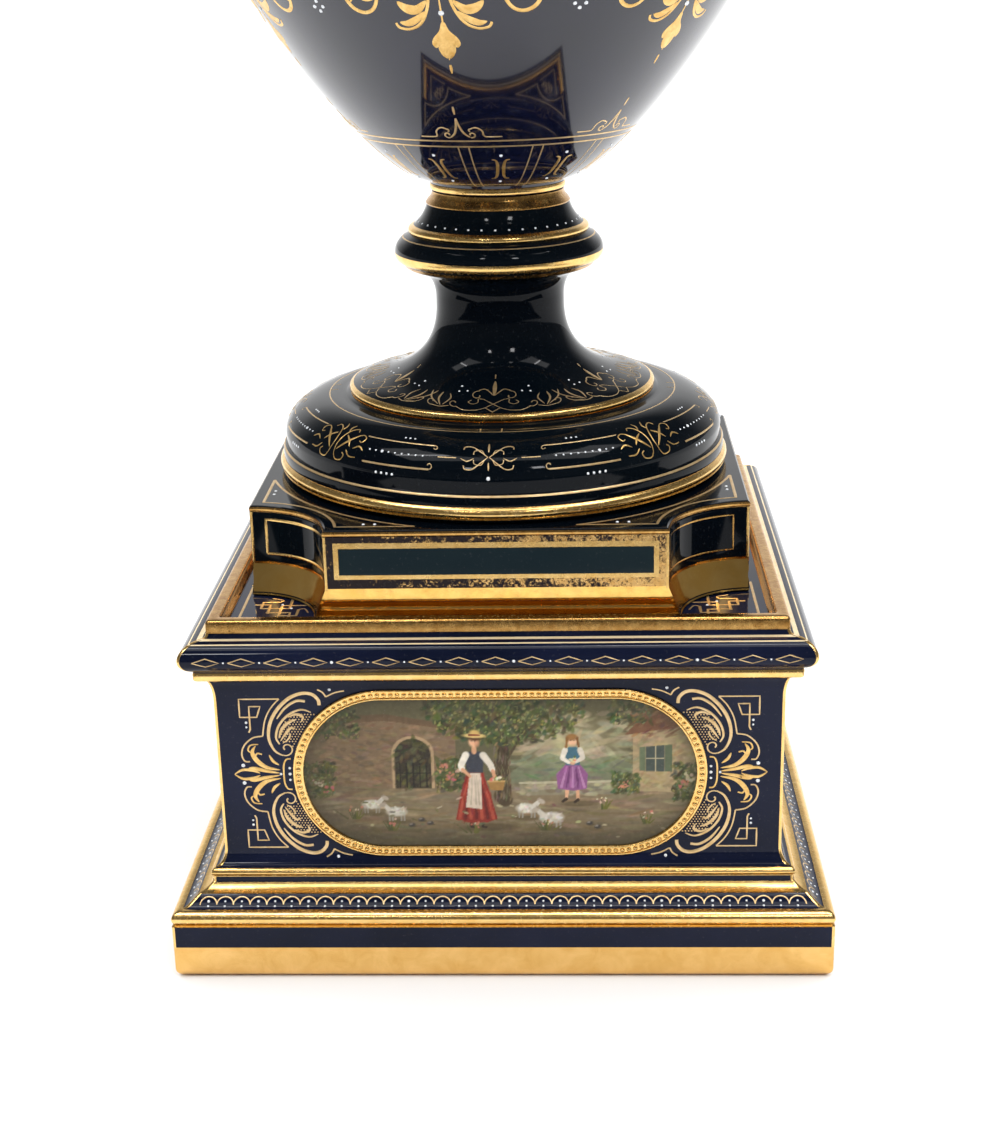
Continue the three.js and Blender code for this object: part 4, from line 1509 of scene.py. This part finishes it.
def paint_standing_figure(c):
    """Someone in a brick red skirt and straw hat, a basket on one arm."""
    c.dab(3.2, 0.3, 7.5, 1.1, 0.03, (88, 76, 54), 0.75)
    for side in (-1.3, 1.5):
        c.limb([(side, 2.2), (side + 0.2, 0.5), (side + 1.1, 0.3)], 0.9, 0.6, (56, 44, 36))
    skirt = c.shape([(-1.9, 15.2), (-3.6, 9), (-4.9, 2.4), (-1.4, 1.5), (2.8, 1.6), (5.3, 2.6),
                     (3.7, 9.4), (2.0, 15.2)], (136, 52, 42))
    for k in range(7):
        foot = 1.4 * k - 4.0
        tint = (100, 34, 30) if k % 2 else (168, 80, 62)
        c.limb([(foot * 0.35, 14), (foot * 0.75, 8), (foot, 2.6)], 0.35, 0.9, tint, 0.6)
    c.scatter(40, (-5, 2, 5, 15), [(150, 64, 50), (112, 40, 34)], 1.2, 0.25, 1.5, 0.2, 0.45, skirt)
    c.shape([(-1.2, 15), (-2.4, 5.8), (1.6, 5.2), (1.5, 15)], (206, 196, 176), 0.9)
    for shift in (-1.1, 0.2, 1.0):
        c.limb([(shift * 0.5, 14.4), (shift, 6.4)], 0.25, 0.5, (166, 154, 136), 0.6)
    c.shape([(-1.9, 15), (-2.3, 19.6), (-1.2, 20.7), (1.4, 20.7), (2.3, 19.5), (2.0, 15)], (64, 66, 74))
    c.limb([(-2.0, 19.9), (-3.3, 17.0), (-2.9, 15.9)], 1.7, 1.4, (218, 210, 194))
    c.limb([(-2.9, 15.9), (-1.0, 14.0)], 0.95, 0.7, (206, 158, 124))
    c.limb([(2.1, 19.8), (3.9, 17.2), (4.4, 15.6)], 1.7, 1.3, (208, 198, 182))
    c.limb([(4.4, 15.6), (5.0, 13.2)], 0.9, 0.7, (196, 146, 114))
    c.shape([(3.1, 12.9), (3.7, 10.4), (6.8, 10.3), (7.4, 12.8)], (150, 116, 70))
    c.limb([(3.2, 12.8), (7.3, 12.7)], 0.55, 0.55, (182, 148, 96))
    c.scatter(12, (3.6, 12.9, 7.0, 13.9), [(112, 122, 66), (190, 120, 96), (210, 200, 170)],
              0.45, 0.35, 0, 1, 0.9)
    c.limb([(0, 20.5), (0, 22.0)], 1.1, 1.0, (200, 152, 118))
    c.dab(-0.1, 23.3, 1.25, 1.5, 0, (212, 166, 132), 1.0)
    c.dab(0.8, 23.0, 0.7, 1.2, 0, (184, 132, 102), 0.6)
    c.dab(0.2, 24.4, 1.7, 0.9, 0, (86, 60, 40), 0.95)
    c.dab(0.1, 24.9, 3.0, 0.62, -0.05, (206, 178, 116), 0.98)
    c.dab(0.2, 25.6, 1.4, 0.9, 0, (190, 160, 100), 0.98)
    c.limb([(-1.2, 25.1), (1.5, 25.0)], 0.4, 0.4, (120, 58, 46), 0.9)
    for eye in (-0.6, 0.25):
        c.dab(eye, 23.4, 0.2, 0.14, 0, (70, 48, 38), 0.8)


def paint_seated_figure(c):
    """A child in lilac and blue sitting on the low wall with a posy."""
    c.dab(1.5, -6.8, 4.6, 0.8, 0.02, (92, 80, 58), 0.7)
    c.limb([(-1.2, -2), (-1.5, -5.6)], 1.0, 0.7, (206, 160, 128))
    c.limb([(1.0, -2), (1.2, -5.8)], 1.0, 0.7, (196, 150, 118))
    c.limb([(-1.5, -5.6), (-2.5, -6.3)], 0.8, 0.6, (60, 48, 40))
    c.limb([(1.2, -5.8), (0.3, -6.5)], 0.8, 0.6, (60, 48, 40))
    skirt = c.shape([(-1.7, 3.2), (-3.8, 0.6), (-3.5, -3.0), (0.2, -3.5), (3.2, -3.0), (3.5, 0.8),
                     (1.7, 3.2)], (136, 88, 128))
    for k in range(5):
        foot = 1.35 * k - 2.7
        tint = (104, 62, 100) if k % 2 else (172, 126, 160)
        c.limb([(foot * 0.5, 2.6), (foot, -2.7)], 0.35, 0.75, tint, 0.6)
    c.scatter(20, (-4, -3, 4, 3), [(150, 104, 142)], 0.8, 0.22, 1.4, 0.2, 0.5, skirt)
    c.shape([(-1.6, 3), (-1.8, 6.6), (-0.9, 7.6), (1.0, 7.6), (1.8, 6.5), (1.6, 3)], (70, 104, 118))
    c.limb([(-1.7, 6.9), (-2.4, 4.8), (-0.7, 3.6)], 1.3, 0.8, (214, 206, 190))
    c.limb([(1.7, 6.9), (2.4, 4.9), (0.6, 3.8)], 1.3, 0.8, (202, 192, 176))
    c.dab(0, 3.6, 0.7, 0.55, 0, (208, 160, 126), 0.95)
    c.scatter(10, (-0.8, 3.8, 0.8, 5.2), [(196, 120, 96), (210, 196, 150), (96, 112, 64)],
              0.4, 0.34, 0, 1, 0.9)
    c.dab(0, 9.2, 1.2, 1.4, 0, (214, 170, 136), 1.0)
    c.dab(-0.2, 10.1, 1.4, 0.9, 0.1, (142, 104, 62), 0.95)
    c.limb([(-1.2, 9.9), (-1.5, 7.4)], 0.7, 0.5, (132, 96, 58))
    c.limb([(1.1, 9.9), (1.4, 7.6)], 0.7, 0.5, (118, 84, 52))
    for eye in (-0.45, 0.4):
        c.dab(eye, 9.2, 0.18, 0.13, 0, (74, 50, 40), 0.8)


def paint_lamb(c, facing=1):
    """A lamb that stands sideways, 1 for facing right."""
    c.dab(0, -2.3, 3.6, 0.6, 0.0, (98, 86, 62), 0.7)
    for leg in (-1.7, -1.0, 1.0, 1.7):
        c.limb([(leg, -0.4), (leg, -2.2)], 0.55, 0.4, (150, 142, 128))
    c.dab(0, 0.2, 2.5, 1.3, 0.0, (204, 198, 184), 0.98)
    c.scatter(26, (-2.2, -0.7, 2.2, 1.3), [(224, 218, 204), (176, 168, 152)], 0.45, 0.32, 0, 1, 0.6)
    c.limb([(1.8 * facing, 0.8), (2.8 * facing, 1.9)], 1.2, 0.9, (198, 190, 176))
    c.dab(3.3 * facing, 1.9, 0.95, 0.6, -0.5 * facing, (170, 158, 142), 1.0)
    c.dab(2.7 * facing, 2.5, 0.55, 0.24, 0.6 * facing, (150, 136, 120), 0.9)


def paint_foreground(c):
    """Tufts of grass with flowers, scattered pebbles, and a few stones with their shade."""
    for x, y in ((-44, -15), (-33, -19), (14, -19), (44, -17), (31, -12), (-8, -20)):
        for _ in range(13):
            lean = c.chance.normal(0, 1.2)
            c.limb([(x + lean * 0.6, y), (x + lean * 1.6, y + c.chance.uniform(1.6, 3.8))], 0.5, 0.18,
                   (80 + 22 * (lean > 0), 84 + 18 * (lean > 0), 50), 0.8)
        c.scatter(5, (x - 2, y + 1.5, x + 2, y + 4), [(206, 196, 166), (186, 120, 98)],
                  0.42, 0.36, 0, 1, 0.85)
    c.scatter(46, (-52, -22, 52, -8), [(120, 108, 84), (188, 174, 138), (104, 94, 74)],
              0.8, 0.36, 0.0, 0.3, 0.75)
    for x, y in ((-24, -15.4), (-21.4, -16.6), (-27, -17.2), (27, -16.8), (29.4, -18)):
        c.dab(x + 0.3, y - 0.5, 1.3, 0.4, 0, (86, 76, 56), 0.7)
        c.dab(x, y, 1.1, 0.7, 0.1, (70, 66, 64), 0.95)
        c.dab(x - 0.3, y + 0.25, 0.6, 0.3, 0.2, (150, 142, 130), 0.8)


PANEL_INSET = MEDALLION_BAND - 0.8
PANEL_HALF_WIDTH = MEDALLION_WIDTH / 2 - PANEL_INSET
PANEL_HALF_HEIGHT = MEDALLION_HEIGHT / 2 - PANEL_INSET
PAINT_PITCH = 0.3         # grid of the painted panel
PANEL_SUNK = 0.35         # its edge goes this far into the dado


def paint_picture():
    """The whole picture on its canvas."""
    canvas = Canvas(PANEL_HALF_WIDTH, PANEL_HALF_HEIGHT, PAINT_PITCH)
    paint_ground(canvas)
    paint_gateway(canvas)
    paint_cottage(canvas)
    paint_trees(canvas)
    paint_seated_figure(Easel(canvas, 22.0, -1.4, 1.3))
    paint_standing_figure(Easel(canvas, -7.5, -18.5, 1.24))
    paint_lamb(Easel(canvas, 8.0, -12.0, 1.35))
    paint_lamb(Easel(canvas, 15.5, -15.2, 1.5), -1)
    paint_lamb(Easel(canvas, -39.0, -10.5, 1.25))
    paint_lamb(Easel(canvas, -31.5, -13.0, 1.3), -1)
    paint_foreground(canvas)
    from_middle = np.hypot(np.maximum(abs(canvas.x) - PANEL_HALF_WIDTH + PANEL_HALF_HEIGHT, 0), canvas.y)
    canvas.wash(canvas.band(from_middle, PANEL_HALF_HEIGHT - 7.0, PANEL_HALF_HEIGHT), (56, 54, 42), 0.5)
    canvas.wash(canvas.band(-canvas.x, 18, 58) * 0.7 + canvas.band(-canvas.y, 8, 24) * 0.5, (62, 56, 42), 0.4)
    canvas.rgb = 0.42 + (canvas.rgb - 0.42) * 1.16
    canvas.rgb *= (0.95 + 0.1 * canvas.mist(0.9))[..., None]
    return canvas


def make_painted_panel():
    """A thin oval sheet with its edge turned in, which carries the picture in its colour layer."""
    canvas = paint_picture()
    paint = np.clip(canvas.rgb, 0, 1) ** 2.2 * 0.92
    bm = bmesh.new()
    bmesh.ops.create_grid(bm, x_segments=canvas.columns - 1, y_segments=canvas.rows - 1, size=1.0)
    bmesh.ops.scale(bm, vec=(canvas.x.max(), canvas.y.max(), 1), verts=bm.verts)
    reach = PANEL_HALF_WIDTH - PANEL_HALF_HEIGHT
    beyond = [v for v in bm.verts
              if math.hypot(max(abs(v.co.x) - reach, 0), v.co.y) > PANEL_HALF_HEIGHT]
    bmesh.ops.delete(bm, geom=beyond, context="VERTS")
    rim = [e for e in bm.edges if e.is_boundary]
    grown = bmesh.ops.extrude_edge_only(bm, edges=rim)
    back = [e for e in grown["geom"] if isinstance(e, bmesh.types.BMEdge) and e.is_boundary]
    sunk = {v for e in back for v in e.verts}
    for vert in sunk:
        vert.co.z = -PANEL_SUNK
    bmesh.ops.holes_fill(bm, edges=back)
    spots = []
    for vert in bm.verts:
        row = round(vert.co.y / canvas.pitch + (canvas.rows - 1) / 2)
        column = round(vert.co.x / canvas.pitch + (canvas.columns - 1) / 2)
        tint = paint[row, column]
        spots += [*tint, 1.0]
        relief = vert.co.z if vert in sunk else 0.06 + 0.06 * float(tint.mean())
        vert.co = (vert.co.x, -(DADO_HALF + relief), MEDALLION_LEVEL + vert.co.y)
    bmesh.ops.recalc_face_normals(bm, faces=bm.faces)
    panel = finish_piece(bm, "painted_panel", [PANEL_PAINT], smooth=60.0)
    layer = panel.data.color_attributes.new("paint", "FLOAT_COLOR", "POINT")
    layer.data.foreach_set("color", spots)


# ---------------------------------------------------------------- stage, lights and camera

def stage_piece(bm, name, material):
    """A piece of the studio, which isn't part of the urn."""
    mesh = bpy.data.meshes.new(name)
    bm.to_mesh(mesh)
    bm.free()
    mesh.materials.append(material)
    piece = bpy.data.objects.new(name, mesh)
    bpy.context.scene.collection.objects.link(piece)
    return piece


# Metres: half the floor, the sweep's radius, and the left, right, front and back edges of the cards.
FLOOR_REACH, SWEEP_REACH = 40.0, 18.0
FLAG_CARDS = {"front": (-2.4, 2.4, -3.4, -0.42), "far": (-30.0, 30.0, -38.0, -3.4),
              "left": (-0.52, -0.34, -0.44, -0.04), "right": (0.34, 0.52, -0.44, -0.04)}


def make_stage():
    """A pale floor, and a white sweep far off that only the camera sees."""
    bm = bmesh.new()
    bmesh.ops.create_grid(bm, x_segments=2, y_segments=2, size=FLOOR_REACH)
    pale = Finish("pale_floor").surface(Base_Color=(0.86, 0.86, 0.86, 1), Roughness=0.9)
    stage_piece(bm, "studio_floor", pale)
    bm = bmesh.new()
    bmesh.ops.create_cone(bm, cap_ends=False, segments=64, radius1=SWEEP_REACH,
                          radius2=SWEEP_REACH, depth=SWEEP_REACH)
    white = Finish("white_sweep").surface(Base_Color=(0, 0, 0, 1), Emission_Color=(1, 1, 1, 1),
                                          Emission_Strength=1.0)
    sweep = stage_piece(bm, "studio_sweep", white)
    sweep.visible_diffuse = False
    sweep.visible_glossy = False
    sweep.visible_shadow = False


def make_dark_flag():
    """Black cards on the floor round the front, seen only as dark reflections in glaze and gold."""
    bm = bmesh.new()
    for left, right, front, back in FLAG_CARDS.values():
        middle = Matrix.Translation(((left + right) / 2, (front + back) / 2, 0.002))
        card = middle @ Matrix.Diagonal(((right - left) / 2, (back - front) / 2, 1, 1))
        bmesh.ops.create_grid(bm, x_segments=1, y_segments=1, size=1.0, matrix=card)
    black = Finish("flag_black").surface(Base_Color=(0.01, 0.01, 0.012, 1), Roughness=1.0)
    flag = stage_piece(bm, "dark_flag", black)
    flag.visible_camera = False
    flag.visible_diffuse = False
    flag.visible_shadow = False


def soft_light(name, place, size, watts):
    """A softbox aimed at the urn's stem."""
    data = bpy.data.lights.new(name, "AREA")
    data.shape = "RECTANGLE"
    data.size, data.size_y = size
    data.energy = watts
    lamp = bpy.data.objects.new(name, data)
    lamp.location = place
    aim = Vector((0, 0, 0.2)) - Vector(place)
    lamp.rotation_euler = aim.to_track_quat("-Z", "Y").to_euler()
    bpy.context.scene.collection.objects.link(lamp)
    return lamp


def make_world():
    """Bright low down at the back, faint low down elsewhere, and fainter still overhead."""
    world = bpy.data.worlds.new("studio")
    bpy.context.scene.world = world
    world.use_nodes = True
    tree = world.node_tree
    background = tree.nodes["Background"]
    coordinates = tree.nodes.new("ShaderNodeTexCoord")
    split = tree.nodes.new("ShaderNodeSeparateXYZ")
    tree.links.new(coordinates.outputs["Generated"], split.inputs[0])
    across, height = Wire(tree, split.outputs["Y"]), Wire(tree, split.outputs["Z"])
    low = 1.0 - height.above(0.42, 0.12)
    back = across.above(0.74, 0.16)
    brightness = 0.03 + low * back * 1.1 + low * 0.16 + (1.0 - low) * 0.06
    grey = tree.nodes.new("ShaderNodeCombineColor")
    for channel in grey.inputs:
        tree.links.new(brightness.socket, channel)
    tree.links.new(grey.outputs[0], background.inputs[0])


def make_lights():
    """Soft even daylight, two strips overhead that only reflect, and two small lamps in front."""
    make_world()
    sun = bpy.data.lights.new("overcast", "SUN")
    sun.energy = 5.4
    sun.angle = 2.2
    overcast = bpy.data.objects.new("overcast", sun)
    overcast.rotation_euler = (math.radians(-12), math.radians(4), 0)
    overcast.visible_glossy = False
    bpy.context.scene.collection.objects.link(overcast)
    for name, level, width, watts in (("overhead", 2.0, 1.1, 28.0), ("overhead_tube", 1.98, 0.07, 14.0)):
        lamp = soft_light(name, (0.0, -0.1, level), (2.6, width), watts)
        lamp.visible_diffuse = False
    soft_light("lamp_left", (-0.45, -1.3, 1.5), (0.12, 0.16), 2.0)
    soft_light("lamp_right", (0.5, -1.2, 1.35), (0.16, 0.2), 3.0)


CAMERA_PLACE = Vector((23.872, -594.182, 307.121)) * MM
CAMERA_YAW, CAMERA_PITCH, CAMERA_ROLL = -2.499, 19.271, -1.360
CAMERA_LENS = 59.91


def make_camera():
    """A camera that looks a little down, turned a little to the left and tilted a little."""
    yaw, pitch, roll = (math.radians(a) for a in (CAMERA_YAW, CAMERA_PITCH, CAMERA_ROLL))
    ahead = Vector((math.sin(yaw) * math.cos(pitch), math.cos(yaw) * math.cos(pitch),
                    -math.sin(pitch)))
    level = Vector((math.cos(yaw), -math.sin(yaw), 0))
    over = level.cross(ahead)
    right = math.cos(roll) * level + math.sin(roll) * over
    upward = math.cos(roll) * over - math.sin(roll) * level
    data = bpy.data.cameras.new("camera")
    data.lens = CAMERA_LENS
    data.clip_start = 0.02
    camera = bpy.data.objects.new("camera", data)
    pose = Matrix((right, upward, -ahead)).transposed().to_4x4()
    pose.translation = CAMERA_PLACE
    camera.matrix_world = pose
    bpy.context.scene.collection.objects.link(camera)
    bpy.context.scene.camera = camera


def main():
    make_camera()
    make_stage()
    make_dark_flag()
    make_lights()
    make_plinth()
    make_foot()
    make_body()
    make_plinth_gilding()
    make_medallion()
    make_painted_panel()
    make_foot_gilding()
    make_body_gilding()
    bpy.context.scene.view_settings.view_transform = "Standard"


main()
